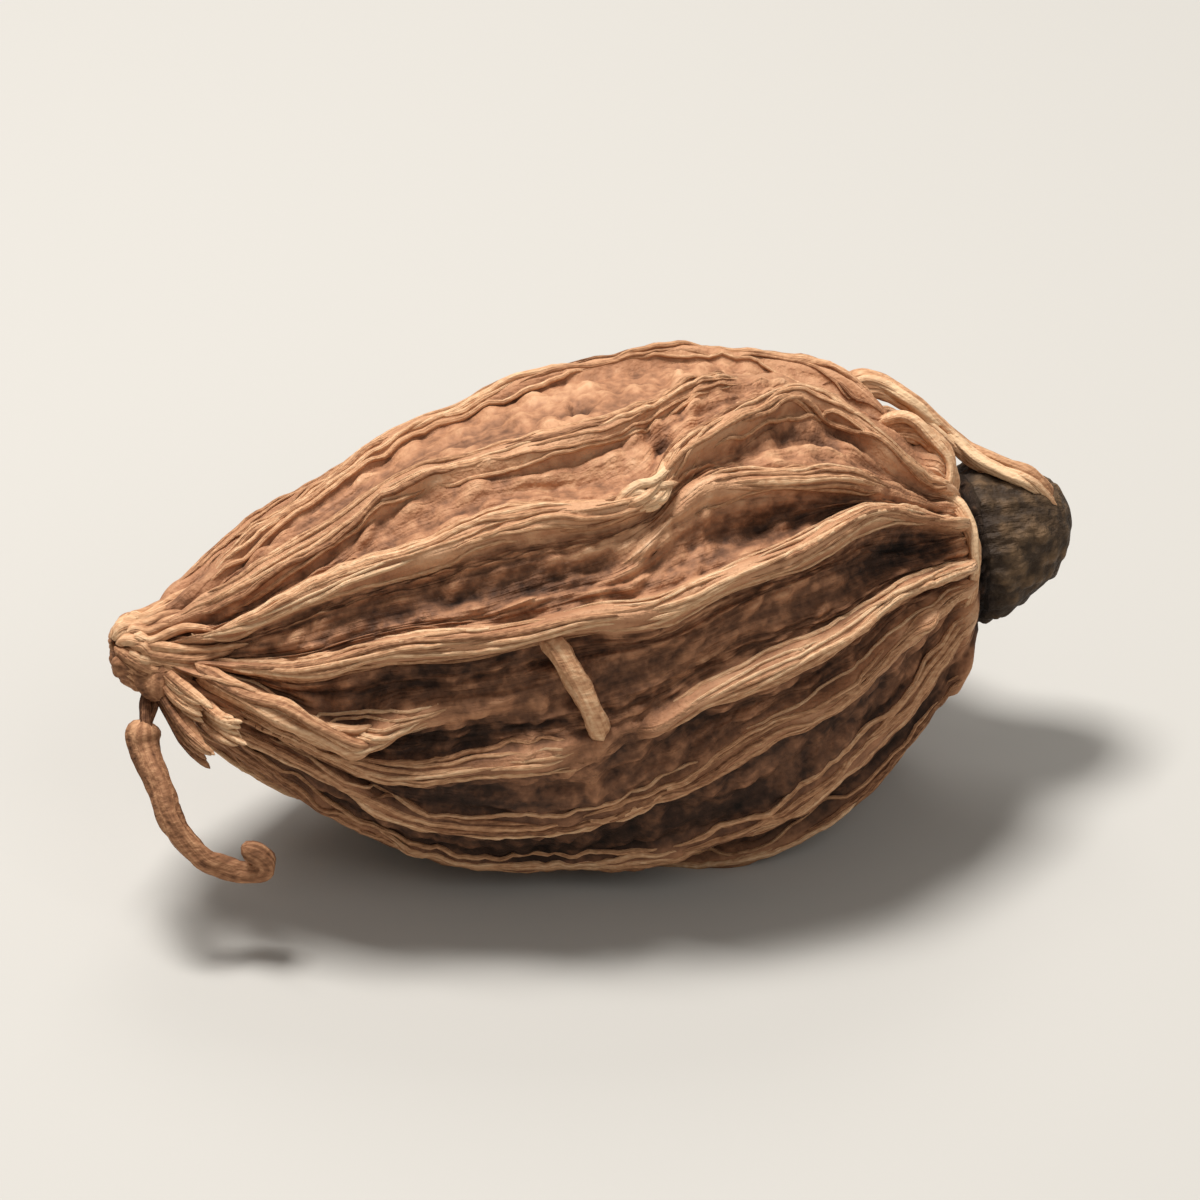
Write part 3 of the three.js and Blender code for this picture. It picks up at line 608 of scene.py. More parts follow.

# Smoke-dried plant skin: dry, matte and dark, painted darker in its folds as shade and lighter high up as
# light, with a dull gleam where fibres are bare
husk_finish = bpy.data.materials.new("smoke_dried_fibrous_husk")
husk_finish.use_nodes = True
t = husk_finish.node_tree
shader = t.nodes["Principled BSDF"]
read = {name: add(t, "ShaderNodeAttribute", attribute_name=name)
        for name in ("rib", "vein", "valley", "pebble", "grain")}
grain = read["grain"].outputs["Vector"]
in_space = add(t, VECTOR_MATH, {0: add(t, "ShaderNodeTexCoord").outputs["Object"], "Scale": 1 / MM},
               operation="SCALE")
# Painted light and shade: the tone is painted lighter high above the floor and darker low down
upper = add(t, "ShaderNodeMapRange", (add(t, "ShaderNodeSeparateXYZ", (in_space,)).outputs["Z"],
                                      *PAINTED_LIGHT_HEIGHTS, -1.0, 1.0))
in_space = add(t, "ShaderNodeVectorRotate", {"Vector": in_space, "Rotation": SKEW}, rotation_type="EULER_XYZ")
noises = {}
for name, source, size, detail in (("streak", grain, STREAK, 3.0), ("fleck", in_space, (FLECK,) * 3, 1.5),
                                   ("mottle", in_space, (MOTTLE,) * 3, 2.0), ("fine", grain, FINE_FIBRE, 2.0),
                                   ("grit", in_space, (GRIT,) * 3, 2.0)):
    where = add(t, VECTOR_MATH, (source, size), operation="DIVIDE")
    noises[name] = add(t, "ShaderNodeTexNoise", {"Vector": where, "Scale": 1.0, "Detail": detail})

# One tone from 0, the darkest skin, to 1, a bare pale fibre. Pebbles and flecks are weak on the ribs
on_nose = add(t, "ShaderNodeMapRange", (add(t, "ShaderNodeSeparateXYZ", (grain,)), *NOSE_EDGE, 0.0, 1.0))
on_rib = read["rib"].outputs["Fac"]
off_rib = add(t, MATH, (on_rib, -RIB_CALM, 1.0), operation="MULTIPLY_ADD")
fleck_weight = add(t, MATH, (off_rib, FLECK_TONE), operation="MULTIPLY")
pebble_weight = add(t, MATH, (off_rib, PEBBLE_TONE), operation="MULTIPLY")
streak_weight = add(t, MATH, (on_nose, -NOSE_STREAK_LOSS, STREAK_TONE), operation="MULTIPLY_ADD")
# The painted top light is weaker on the ribs
painted_top_light_weight = add(t, MATH, (on_rib, -RIB_TOP_LIGHT_LOSS, PAINTED_TOP_LIGHT_TONE), operation="MULTIPLY_ADD")
tone = add(t, MATH, (on_rib, RIB_TONE, BASE_TONE), operation="MULTIPLY_ADD")
# Painted shade: the valleys darken the tone, and so do the sunk hollows through the vein mark
for source, weight, centre in (
        (read["vein"].outputs["Fac"], VEIN_PALENESS_AND_HOLLOW_SHADE, 0.0), (read["valley"].outputs["Fac"], CREASE_PAINTED_SHADE_TONE, 0.0),
        (read["pebble"].outputs["Fac"], pebble_weight, 0.0), (on_nose, NOSE_TONE, 0.0),
        (upper, painted_top_light_weight, 0.0), (noises["streak"], streak_weight, 0.5),
        (noises["fleck"], fleck_weight, 0.5), (noises["mottle"], MOTTLE_TONE, 0.5)):
    offset = add(t, MATH, (source, centre), operation="SUBTRACT")
    tone = add(t, MATH, (offset, weight, tone), operation="MULTIPLY_ADD")
ramp = add(t, "ShaderNodeValToRGB", (tone,))
set_stops(ramp.color_ramp, HUSK_TONES)
nose_ramp = add(t, "ShaderNodeValToRGB", (tone,))
set_stops(nose_ramp.color_ramp, NOSE_TONES)
skin_colour = add(t, MIX, {0: on_nose, 1: ramp, 2: nose_ramp}, data_type="RGBA")
t.links.new(skin_colour.outputs[2], shader.inputs["Base Color"])
dull_surface(t, shader, noises["streak"], HUSK_ROUGHNESS, (
    (noises["grit"], *GRIT_BUMP), (noises["fine"], *FINE_BUMP)))
print("husk finish:", len(t.nodes), "nodes")

# %% [markdown]
# ## Making the husk
# The pattern becomes a mesh whose last column joins its first and whose ends close in one point each, so the
# rolled husk has no seam. It goes through the tree as its geometry, and veins and hollows come in as helper
# objects. The inputs are set by their identifiers before the first evaluation. What comes out is copied to a
# plain mesh, and the tree's modifier and the helpers go, so that nothing is left to recompute.

# %% Pattern and lines to mesh, tree to plain mesh


def line_mesh(name, lines, **marks):
    """Edges through the stations of each line, with marks stored on the points."""
    counts = [len(line) for line in lines]
    firsts = np.cumsum([0, *counts[:-1]])
    edges = [(first + i, first + i + 1) for first, count in zip(firsts, counts) for i in range(count - 1)]
    mesh = bpy.data.meshes.new(name)
    mesh.from_pydata(np.concatenate(lines).tolist(), edges, [])
    for mark, values in marks.items():
        mesh.attributes.new(mark, "FLOAT", "POINT").data.foreach_set("value", np.concatenate(values))
    return mesh


def pattern_mesh(name):
    """The pattern's points, row by row, with a tip at each end."""
    count, _, rows = pattern.shape
    points = np.stack([np.tile(places[:, None], count), pattern[:, 0].T, pattern[:, 1].T], 2).reshape(-1, 3)
    points = np.concatenate([points, [[0, 0, 0], [POD_LENGTH, 0, 0]]])
    index = np.arange(rows * count).reshape(rows, count)
    after = np.roll(index, -1, 1)
    quads = np.stack([index[:-1], index[1:], after[1:], after[:-1]], 2).reshape(-1, 4).tolist()
    stalk, nose = rows * count, rows * count + 1
    fans = [(stalk, a, b) for a, b in zip(index[0].tolist(), after[0].tolist())]
    fans += [(nose, b, a) for a, b in zip(index[-1].tolist(), after[-1].tolist())]
    mesh = bpy.data.meshes.new(name)
    mesh.from_pydata(points.tolist(), [], quads + fans)
    for mark, column in (("across", 2), ("crest", 3), ("away", 4)):
        values = np.concatenate([pattern[:, column].T.ravel(), [0, 0]])
        mesh.attributes.new(mark, "FLOAT", "POINT").data.foreach_set("value", values)
    return mesh


def grow(name, mesh, tree, **sizes):
    """Puts a mesh through a tree and leaves the result as a plain mesh object."""
    piece = bpy.data.objects.new(name, mesh)
    bpy.context.scene.collection.objects.link(piece)
    modifier = piece.modifiers.new(tree.name, "NODES")
    modifier.node_group = tree
    sockets = {item.name: item.identifier for item in tree.interface.items_tree if item.in_out == "INPUT"}
    for label, value in sizes.items():
        modifier[sockets[label.replace("_", " ").title()]] = value
    evaluated = piece.evaluated_get(bpy.context.evaluated_depsgraph_get())
    piece.data = bpy.data.meshes.new_from_object(evaluated)
    piece.modifiers.remove(modifier)
    piece.data.name = name
    piece.data.calc_loop_triangles()
    points = [vertex.co for vertex in piece.data.vertices]
    corners = np.array([[points[i] for i in face.vertices] for face in piece.data.loop_triangles])
    volume = np.einsum("ij,ij->i", corners[:, 0], np.cross(corners[:, 1], corners[:, 2])).sum() / 6
    print(name, "triangles:", len(corners), "volume, mm3:", round(volume / MM**3, 1))
    return piece


helpers = {}
for name, sign in (("veins", 1), ("hollows", -1)):
    chosen = [i for i, line in enumerate(vein_lines) if line[:, 2].mean() * sign > 0]
    mesh = line_mesh(name, [vein_lines[i] for i in chosen], breadth=[vein_widths[i] for i in chosen])
    helpers[name] = bpy.data.objects.new(name, mesh)
    print(name, len(chosen))
husk = grow("husk", pattern_mesh("husk_pattern"), husk_tree, material=husk_finish, **helpers)
for helper in helpers.values():
    bpy.data.objects.remove(helper)

# %% [markdown]
# ## Torn fibres
# At the stalk end the pod was pulled off its plant: short torn stubs and a curled hook are left. At the nose
# strands have come loose and bridge the shoulder, and a cord lies round the collar. A fibre is a tube with a
# taper along a route, given in the same three numbers as the ribs, so that its root stays under the skin.

# %% Routes of the fibres
FIBRES = [  # stations of [distance, angle, height above the skin], radii and paleness on the way
    # The knot's lower lobe
    ([[.96, 40, -.8], [.86, -19, -.15], [.76, -32, .6]], (.6, .5), .3),
    # The hook, with a bulb at its root
    ([[.42, -52.5, 1.3], [.34, -53, 1.65], [.3, -53, 2.1], [.45, -47, 2.85], [.6, -47, 3.55],
      [1.07, -48, 3.85], [1.46, -48, 3.74], [1.98, -47.3, 3.45], [2.43, -45, 3.1], [2.6, -41.8, 2.85],
      [2.37, -39.2, 2.85], [2.03, -38.4, 2.98]],
     (.34, .42, .34, .29, .28, .27, .27, .26, .25, .24, .24, .22),
     (.5, .45, .35, .3, .3, .3, .3, .28, .25, .3, .3, .3)),
    # The splinter across the front
    ([[9.3, 29, -.35], [9.5, 25, .2], [10.15, 8, .2], [10.35, 2, -.35]], (.26, .26), .65),
]
BUNDLES = [  # a route as above, radius of the whole bundle, threads in it, paleness on the way
    # Torn stubs in front, the hook's root painted dark as shade, and a stub behind
    ([[.9, -15, -.6], [1.1, -3, .55], [1.65, 0, 1]], .3, 11, (.3, .55, .85)),
    ([[.8, -38, 0], [1.15, -25, 1.15], [1.6, -22, 1.6]], .28, 10, (.2, .4, .7)),
    ([[1.3, -30, -.7], [1.75, -8, .65], [2.2, 2, 1.5]], .32, 12, (.3, .6, .9)),
    # Painted shade: the hook's root gets a paleness of 0.1
    ([[.9, -30, -.4], [.6, -49, .55], [.38, -53, 1.5], [.3, -53, 2.4]], .2, 7, .1),
    ([[1, 200, -.6], [1, 215, .6], [1.5, 228, 1.1]], .3, 11, .5),
    # The finger, and the junction where the arch forks
    ([[1.6, 22, .1], [2.4, 14, .36], [3.2, 8, .5], [3.9, 4, .54], [4.7, 0, .5], [5.2, 2, .25]], .34, 11,
     (.5, .6, .62, .55)),
    ([[11.2, 55.5, .2], [11.8, 56, .42], [12.3, 57.5, .46], [12.9, 63, .25]], .28, 10, (.55, .85, .95, .6)),
    # Loose strands of the shoulder, one of them over the nose, then one behind
    ([[18.4, 115, -.3], [19.2, 112, .75], [20.1, 110, .95], [20.9, 108, .75], [21.5, 99, .3],
      [22.2, 88, .14], [22.9, 76, .08], [23.6, 45, -.2]], .31, 9, (.6, .75, .7, .55)),
    ([[19, 95, -.3], [19.7, 87, .5], [20.2, 80, .6], [20.5, 72, .45], [20.25, 59, -.2]], .27, 7, .68),
    ([[18.8, 188, -.3], [20.2, 180, .7], [21.9, 168, -.4]], .3, 7, .45),
    # The cord round the collar
    ([[20, 60, -.2], [20.4, 52, .26], [20.55, 42, .3], [20.55, 32, .3], [20.5, 22, .26], [20.35, 12, .1],
      [20.2, 4, -.2]], .32, 11, .7),
]
THREAD_SPREAD, THREAD_TURN = 0.75, 0.3  # share of the bundle's radius, radians
THREAD_RINGS = 3  # the threads lie in rings round the bundle's middle
THREAD_STRAY = (0.05, 1.6, 0.05)  # mm, degrees, mm
THREAD_OVERRUN = (-0.35, 0.15)  # share of the last stretch
THREAD_RADIUS, THREAD_TAPER = (1.1, 1.6), (0.6, 0.9)  # shares of an even part of the bundle, and of the root
TONE_SPREAD = 0.1
KNOT_THREADS = 40  # they fray from the knot over the first stretch of the ribs
KNOT_TURN, KNOT_STRAY = 5, 4  # degrees
KNOT_START, KNOT_MIDDLE, KNOT_END = (-0.1, 0.3), 0.75, (1.5, 2.9)  # mm from the stalk tip
KNOT_STEP = 0.25  # mm from a thread's start to its second station
KNOT_ARCH, KNOT_ARCH_HEIGHT = np.array([0.1, 0.4, 1, 0.7, 0.2]), 0.16
KNOT_ARCH_RANGE, KNOT_LIFT = (0.3, 1.3), (0.12, 0.3, 0.1, 0.02, -0.1)
KNOT_TONE, KNOT_TOP_TONE = 0.45, 0.35 * np.array([1, 1, 0.4, 0])  # the upper threads are paler at the knot
KNOT_RADIUS, KNOT_TIP_RADIUS = (0.1, 0.18), (0.05, 0.1)
SOLID_POINT, THREAD_POINT = 1.2, 5.0  # how long a fibre's end is, in its own radii

solid = len(FIBRES)
for route, radius, threads, paleness in BUNDLES:
    for k in range(threads):
        turn = 2 * math.pi * k / threads + draw.normal(0, THREAD_TURN)
        off = radius * THREAD_SPREAD * math.sqrt((k % THREAD_RINGS + 0.5) / THREAD_RINGS)
        stations = np.array(route, float)
        stations[:, 1] += np.degrees(off * math.cos(turn) / np.maximum(girth(stations[:, 0]), 1))
        stations[:, 2] += off * math.sin(turn)
        stations[1:] += draw.normal(0, 1, stations[1:].shape) * THREAD_STRAY
        stations[-1] += (stations[-1] - stations[-2]) * draw.uniform(*THREAD_OVERRUN)
        thickness = radius * draw.uniform(*THREAD_RADIUS) / math.sqrt(threads)
        tone = np.add(paleness, draw.normal(0, TONE_SPREAD))
        FIBRES.append((stations, (thickness, thickness * draw.uniform(*THREAD_TAPER)), tone))
for k in range(KNOT_THREADS):
    angle = 360 * k / KNOT_THREADS + draw.normal(0, KNOT_TURN)
    start, end = draw.uniform(*KNOT_START), draw.uniform(*KNOT_END)
    lift = KNOT_ARCH_HEIGHT * KNOT_ARCH * draw.uniform(*KNOT_ARCH_RANGE)
    at = [start, start + KNOT_STEP, KNOT_MIDDLE, (KNOT_MIDDLE + end) / 2, end]
    stations = np.stack([at, angle + draw.normal(0, KNOT_STRAY, len(at)), lift + KNOT_LIFT], 1)
    top_share = max(0, math.sin(math.radians(angle)))
    tone = KNOT_TONE + draw.normal(0, TONE_SPREAD) + top_share * KNOT_TOP_TONE
    FIBRES.append((stations, (draw.uniform(*KNOT_RADIUS), draw.uniform(*KNOT_TIP_RADIUS)), tone))
print("fibres:", len(FIBRES))

# %% [markdown]
# ## The fibres' tree
# A curve with a round bevel would do for a wire, but a torn fibre thins to a point and its skin is ragged.
# So the tree lays the routes on the husk, sweeps a circle along them and moves the tube's skin by noise.
# Three helpers hold the steps that the next tree shares: laying the routes, sweeping the circle, and finding
# how far along it a point is.

# %% Node tree: fibres
def lay_routes(tree, given):
    """The routes as smooth curves on the husk, with a point at every step."""
    station = add(tree, "ShaderNodeSeparateXYZ", (add(tree, "GeometryNodeInputPosition"),))
    laid = add(tree, "GeometryNodeGroup", dict(zip(("Place", "Angle", "Height"), station.outputs)),
               node_tree=point_tree)
    routes = add(tree, "GeometryNodeSetPosition", {
        "Geometry": given["Routes"], "Position": laid.outputs["Point"]})
    routes = add(tree, "GeometryNodeMeshToCurve", (routes,))
    routes = add(tree, "GeometryNodeCurveSplineType", (routes,), spline_type="CATMULL_ROM")
    return add(tree, "GeometryNodeResampleCurve", {"Curve": routes, "Length": given["Step"]}, mode="LENGTH")


def sweep(tree, routes, given):
    """Tubes of the stored thickness. Their grain is the way along in mm, then the place round the tube."""
    circle = add(tree, "GeometryNodeCurvePrimitiveCircle", {"Resolution": given["Sides"], "Radius": 1.0})
    circle = add(tree, "GeometryNodeStoreNamedAttribute", {
        "Geometry": circle, "Name": "round", "Value": add(tree, "GeometryNodeInputPosition")},
        data_type="FLOAT_VECTOR")
    along, thickness, around = (
        add(tree, "GeometryNodeInputNamedAttribute", (name,), data_type=kind)
        for name, kind in (("along", "FLOAT"), ("thickness", "FLOAT"), ("round", "FLOAT_VECTOR")))
    tubes = add(tree, "GeometryNodeCurveToMesh", {
        "Curve": routes, "Profile Curve": circle, "Fill Caps": True, "Scale": thickness})
    around = add(tree, "ShaderNodeSeparateXYZ", (around,))
    grain = add(tree, "ShaderNodeCombineXYZ", (along, around.outputs["X"], around.outputs["Y"]))
    tubes = add(tree, "GeometryNodeStoreNamedAttribute", {"Geometry": tubes, "Name": "grain", "Value": grain},
                data_type="FLOAT_VECTOR")
    return tubes, grain, thickness


def way_along(tree):
    """How far each point of a curve is from the curve's start, and from its nearer end."""
    along = add(tree, "GeometryNodeSplineParameter").outputs["Length"]
    to_end = add(tree, MATH, (add(tree, "GeometryNodeSplineLength"), along), operation="SUBTRACT")
    return along, add(tree, MATH, (to_end, along), operation="MINIMUM")


END_ROUNDING = 2.0  # power of the end's curve
LEAST_END = 0.02  # of its square is left at the tip, so that no tube closes to nothing

fibre_tree, given, result = start_tree("torn_fibres", {
    "Routes": "Geometry", "Sides": 14, "Step": 0.09, "Ragged Depth": 0.42, "Ragged Length": 1.2,
    "Ragged Width": 0.6, "Seed": 5.0, "Material": "Material"}, {"Fibres": "Geometry"})
t = fibre_tree
routes = lay_routes(t, given)

# The radius closes towards both ends, in a dome or a long point
along, to_end = way_along(t)
breadth, pointed = (add(t, "GeometryNodeInputNamedAttribute", (name,), data_type="FLOAT")
                    for name in ("breadth", "pointed"))
closing = add(t, MATH, (to_end, add(t, MATH, (breadth, pointed), operation="MULTIPLY")), operation="DIVIDE",
              use_clamp=True)
closing = add(t, MATH, (1.0, closing), operation="SUBTRACT")
closing = add(t, MATH, (closing, END_ROUNDING), operation="POWER")
closing = add(t, MATH, (1 + LEAST_END, closing), operation="SUBTRACT")
closing = add(t, MATH, (closing,), operation="SQRT")
breadth = add(t, MATH, (breadth, closing), operation="MULTIPLY")
for name, value in (("along", along), ("thickness", breadth)):
    routes = add(t, "GeometryNodeStoreNamedAttribute", {"Geometry": routes, "Name": name, "Value": value},
                 data_type="FLOAT")
tubes, grain, thickness = sweep(t, routes, given)

# Torn fibre is ragged: streaks along the tube move its skin in and out by a share of its thickness
size = add(t, "ShaderNodeCombineXYZ", (
    given["Ragged Length"], given["Ragged Width"], given["Ragged Width"]))
where = add(t, VECTOR_MATH, (grain, size), operation="DIVIDE")
noise = add(t, "ShaderNodeTexNoise", {"Vector": where, "W": given["Seed"], "Scale": 1.0, "Detail": 2.0},
            noise_dimensions="4D")
ragged = add(t, "ShaderNodeMapRange", (noise, *NOISE_RANGE, -1.0, 1.0))
ragged = add(t, MATH, (ragged, thickness), operation="MULTIPLY")
ragged = add(t, MATH, (ragged, given["Ragged Depth"]), operation="MULTIPLY")
ragged = add(t, VECTOR_MATH, {0: add(t, "GeometryNodeInputNormal"), "Scale": ragged}, operation="SCALE")
tubes = add(t, "GeometryNodeSetPosition", {"Geometry": tubes, "Offset": ragged})
close_tree(t, tubes, given, result.inputs["Fibres"])

# %% [markdown]
# ## The fibres' finish: bare bast fibre
# Where the husk is torn its inner fibre shows. Fresh tears are pale straw, older ones are brown with smoke,
# and both are matte with fine streaks. Each fibre carries its own paleness, so one material serves them all.

# %% The fibres' material and pieces
FIBRE_TONES = ((0.0, "#5a3a27"), (0.3, "#956849"), (0.6, "#c4936c"), (1.0, "#e6c198"))
FIBRE_STREAK = (1.5, 0.4, 0.4)  # mm along, then in shares of the fibre's radius
FIBRE_GRIT = (0.22, 0.1, 0.1)  # mm. Real grit is finer still, and would not show at this distance
STREAK_SPREAD, GRIT_SPREAD = 0.9, 0.8  # how far each moves the tone
FIBRE_ROUGHNESS, FIBRE_GRIT_BUMP, FIBRE_STREAK_BUMP = (0.85, 0.65), (0.7, 0.06), (0.7, 0.07)

# Bare plant fibre, torn: chalky and streaked, without gloss, so its form is read by its shadows
fibre_finish = bpy.data.materials.new("torn_bast_fibre")
fibre_finish.use_nodes = True
t = fibre_finish.node_tree
shader = t.nodes["Principled BSDF"]
where = add(t, "ShaderNodeAttribute", attribute_name="grain").outputs["Vector"]
where = add(t, VECTOR_MATH, (where, FIBRE_STREAK), operation="DIVIDE")
streak = add(t, "ShaderNodeTexNoise", {"Vector": where, "Scale": 1.0, "Detail": 3.0})
in_space = add(t, VECTOR_MATH, {0: add(t, "ShaderNodeTexCoord").outputs["Object"], "Scale": 1 / MM},
               operation="SCALE")
in_space = add(t, VECTOR_MATH, (in_space, FIBRE_GRIT), operation="DIVIDE")
grit = add(t, "ShaderNodeTexNoise", {"Vector": in_space, "Scale": 1.0, "Detail": 3.0})
tone = add(t, "ShaderNodeAttribute", attribute_name="paleness").outputs["Fac"]
for source, weight in ((streak, STREAK_SPREAD), (grit, GRIT_SPREAD)):
    offset = add(t, MATH, (source, 0.5), operation="SUBTRACT")
    tone = add(t, MATH, (offset, weight, tone), operation="MULTIPLY_ADD")
ramp = add(t, "ShaderNodeValToRGB", (tone,))
set_stops(ramp.color_ramp, FIBRE_TONES)
t.links.new(ramp.outputs["Color"], shader.inputs["Base Color"])
dull_surface(t, shader, streak, FIBRE_ROUGHNESS, ((grit, *FIBRE_GRIT_BUMP), (streak, *FIBRE_STREAK_BUMP)))
print("fibre finish:", len(t.nodes), "nodes")


def on_the_way(values, count):
    """One value or a few, spread evenly over a route's stations."""
    values = np.atleast_1d(values)
    return np.interp(np.linspace(0, 1, count), np.linspace(0, 1, len(values)), values)


routes = [np.array(route, float) for route, *_ in FIBRES]
points = [SOLID_POINT if i < solid else THREAD_POINT for i in range(len(routes))]
breadth, paleness, pointed = (
    [on_the_way(values, len(route)) for values, route in zip(column, routes)]
    for column in ([fibre[1] for fibre in FIBRES], [fibre[2] for fibre in FIBRES], points))
route_mesh = line_mesh("fibre_routes", routes, breadth=breadth, paleness=paleness, pointed=pointed)
fibres = grow("torn_fibres", route_mesh, fibre_tree, material=fibre_finish)

# %% [markdown]
# ## Strands on the ribs
# Seen closely a rib isn't a smooth rope: its skin has worn off, and it shows as a band of thin parallel
# strands that split, dive and end. They could be noise on the rib, but noise never lets one strand cross
# another. Here each strand is a line of its own, drawn by a seeded rule beside its neighbours on the rib.
# Where the rib is low it has no strands. Its paleness says how much a rib is worn, and on the three lowest
# front ribs it is also painted shade, darker towards the stalk.

# %% Routes of the strands, by rule
STRAND_TRACKS = 8  # side by side on a rib
STRAND_SPREAD = 1.0  # of the rib's half-width
STRAND_LENGTH = (3.0, 11.0)  # mm
STRAND_RADIUS = (0.04, 0.085)  # mm. Real strands are finer still, and would not show at this distance
LEAST_CREST = 0.16  # mm. A lower rib has no strands
LEAST_STATIONS = 4  # of a strand, and one for each mm of a long one
STRAND_STRAY, TONE_STRAY, TONE_LIMITS = 0.1, 0.13, (0.05, 0.95)
STRAND_OVERLAP, FIRST_DELAY, LAST_SHORT, LEAST_STRAND = (-0.6, 0.8), (0, 1.5), (0, 0.5), 1  # mm
# Wear, and painted shade: the lowest, low and strong_lower ribs are painted darker at the stalk end
RIB_WEAR_AND_PAINTED_SHADE = {  # paleness at the stalk and at the nose
    "lowest": (0.35, 0.62), "low": (0.45, 0.68), "strong_lower": (0.5, 0.92), "finger": (0.75, 0.72),
    "main": (0.6, 0.7), "inner": (0.5, 0.6), "arch": (0.6, 0.6)}
EVENLY_WORN = (0.53, 0.53)

wear_and_painted_shade = [RIB_WEAR_AND_PAINTED_SHADE.get(name, EVENLY_WORN) for name in FRONT_RIBS] + [EVENLY_WORN] * BACK_RIBS
strand_routes, strand_breadths, strand_tones = [], [], []
for i in range(len(ribs)):
    high = np.concatenate([[False], rib_crests[i] > LEAST_CREST, [False]])
    rises, falls = np.flatnonzero(high[1:-1] & ~high[:-2]), np.flatnonzero(high[1:-1] & ~high[2:])
    for first, last in zip(places[rises], places[falls]):
        for k in range(STRAND_TRACKS):
            start = first + draw.uniform(*FIRST_DELAY)
            while start < last - LEAST_STRAND:
                end = min(start + draw.uniform(*STRAND_LENGTH), last - draw.uniform(*LAST_SHORT))
                at = np.linspace(start, end, max(LEAST_STATIONS, int(end - start)))
                track = STRAND_SPREAD * (2 * (k + 0.5) / STRAND_TRACKS - 1)
                track = track + draw.normal(0, STRAND_STRAY, len(at))
                angle = np.interp(at, places, rib_angles[i]) + track * np.interp(at, places, rib_halves[i])
                strand_routes.append(np.stack([at, angle, 0 * at], 1))
                strand_breadths.append(np.full(len(at), draw.uniform(*STRAND_RADIUS)))
                tone = np.interp(at, (0, POD_LENGTH), wear_and_painted_shade[i]) + draw.normal(0, TONE_STRAY)
                strand_tones.append(np.clip(tone, *TONE_LIMITS))
                start = end + draw.uniform(*STRAND_OVERLAP)
print("strands:", len(strand_routes))

# %% [markdown]
# ## The strands' tree
# A strand's route is laid on the smooth husk, which lies a little off the ribs and veins. So every point
# looks for the real skin along a ray towards the axis: the strands lie on the finished relief, half buried
# in it. A shrinkwrap goes to the nearest skin instead, which could draw the strands together on the ribs.

# %% Node tree and piece: strands
RAY_ROOM = 3.0  # mm above the smooth husk, where the rays start
WAVE_WIDTH = 0.3  # mm. Strands that lie this far apart rise and sink on their own
WAVE_RANGE, LIFT_SHARES, THICK_SHARES = (0.3, 0.7), (-0.7, 0.7), (1.25, 0.75)  # of noise, and of the radius
TIP_LOSS = 0.85  # of the radius is gone at the tip

strand_tree, given, result = start_tree("rib_strands", {
    "Routes": "Geometry", "Husk": "Object", "Sides": 6, "Step": 0.17, "Rise": 0.15, "Dive": 1.0,
    "Tip Length": 1.0, "Wave Length": 2.0, "Seed": 6.0, "Material": "Material"}, {"Strands": "Geometry"})
t = strand_tree
routes = lay_routes(t, given)

# Rays from outside towards the husk's axis find the finished skin
at = add(t, "GeometryNodeInputPosition")
place = add(t, MATH, (add(t, "ShaderNodeSeparateXYZ", (at,)), POD_LENGTH / 2), operation="ADD")
radius = add(t, "GeometryNodeGroup", {"Place": place}, node_tree=point_tree).outputs["Radius"]
axis = add(t, "GeometryNodeGroup", {
    "Place": place, "Height": add(t, MATH, (radius, -1.0), operation="MULTIPLY")}, node_tree=point_tree)
inward = add(t, VECTOR_MATH, (axis.outputs["Point"], at), operation="SUBTRACT")
inward = add(t, VECTOR_MATH, (inward,), operation="NORMALIZE")
outside = add(t, VECTOR_MATH, {0: inward, "Scale": -RAY_ROOM}, operation="SCALE")
outside = add(t, VECTOR_MATH, (at, outside), operation="ADD")
skin = add(t, "GeometryNodeObjectInfo", (given["Husk"],), transform_space="ORIGINAL")
skin = add(t, "GeometryNodeTransform", {"Geometry": skin.outputs["Geometry"], "Scale": (1 / MM,) * 3})
hit = add(t, "GeometryNodeRaycast", {
    "Target Geometry": skin, "Source Position": outside, "Ray Direction": inward,
    "Ray Length": 2 * RAY_ROOM})

# A strand rises and sinks by a share of its thickness, and dives at both ends
along, to_end = way_along(t)
ending = add(t, "ShaderNodeMapRange", (to_end, given["Tip Length"], 0.0, 0.0, 1.0))
breadth = add(t, "GeometryNodeInputNamedAttribute", ("breadth",), data_type="FLOAT")
size = add(t, "ShaderNodeCombineXYZ", (given["Wave Length"], WAVE_WIDTH, WAVE_WIDTH))
where = add(t, VECTOR_MATH, (at, size), operation="DIVIDE")
noise = add(t, "ShaderNodeTexNoise", {"Vector": where, "W": given["Seed"], "Scale": 1.0, "Detail": 1.0},
            noise_dimensions="4D")
lift = add(t, "ShaderNodeMapRange", (noise, *WAVE_RANGE, *LIFT_SHARES))
lift = add(t, MATH, (lift, given["Rise"]), operation="ADD")
dive = add(t, MATH, (ending, given["Dive"]), operation="MULTIPLY")
lift = add(t, MATH, (lift, dive), operation="SUBTRACT")
lift = add(t, MATH, (lift, breadth), operation="MULTIPLY")
lift = add(t, VECTOR_MATH, {0: hit.outputs["Hit Normal"], "Scale": lift}, operation="SCALE")
thick = add(t, "ShaderNodeMapRange", (noise, *WAVE_RANGE, *THICK_SHARES))
thick = add(t, MATH, (thick, breadth), operation="MULTIPLY")
tip = add(t, MATH, (ending, -TIP_LOSS, 1.0), operation="MULTIPLY_ADD")
thick = add(t, MATH, (thick, tip), operation="MULTIPLY")
for name, value in (("along", along), ("thickness", thick)):
    routes = add(t, "GeometryNodeStoreNamedAttribute", {"Geometry": routes, "Name": name, "Value": value},
                 data_type="FLOAT")
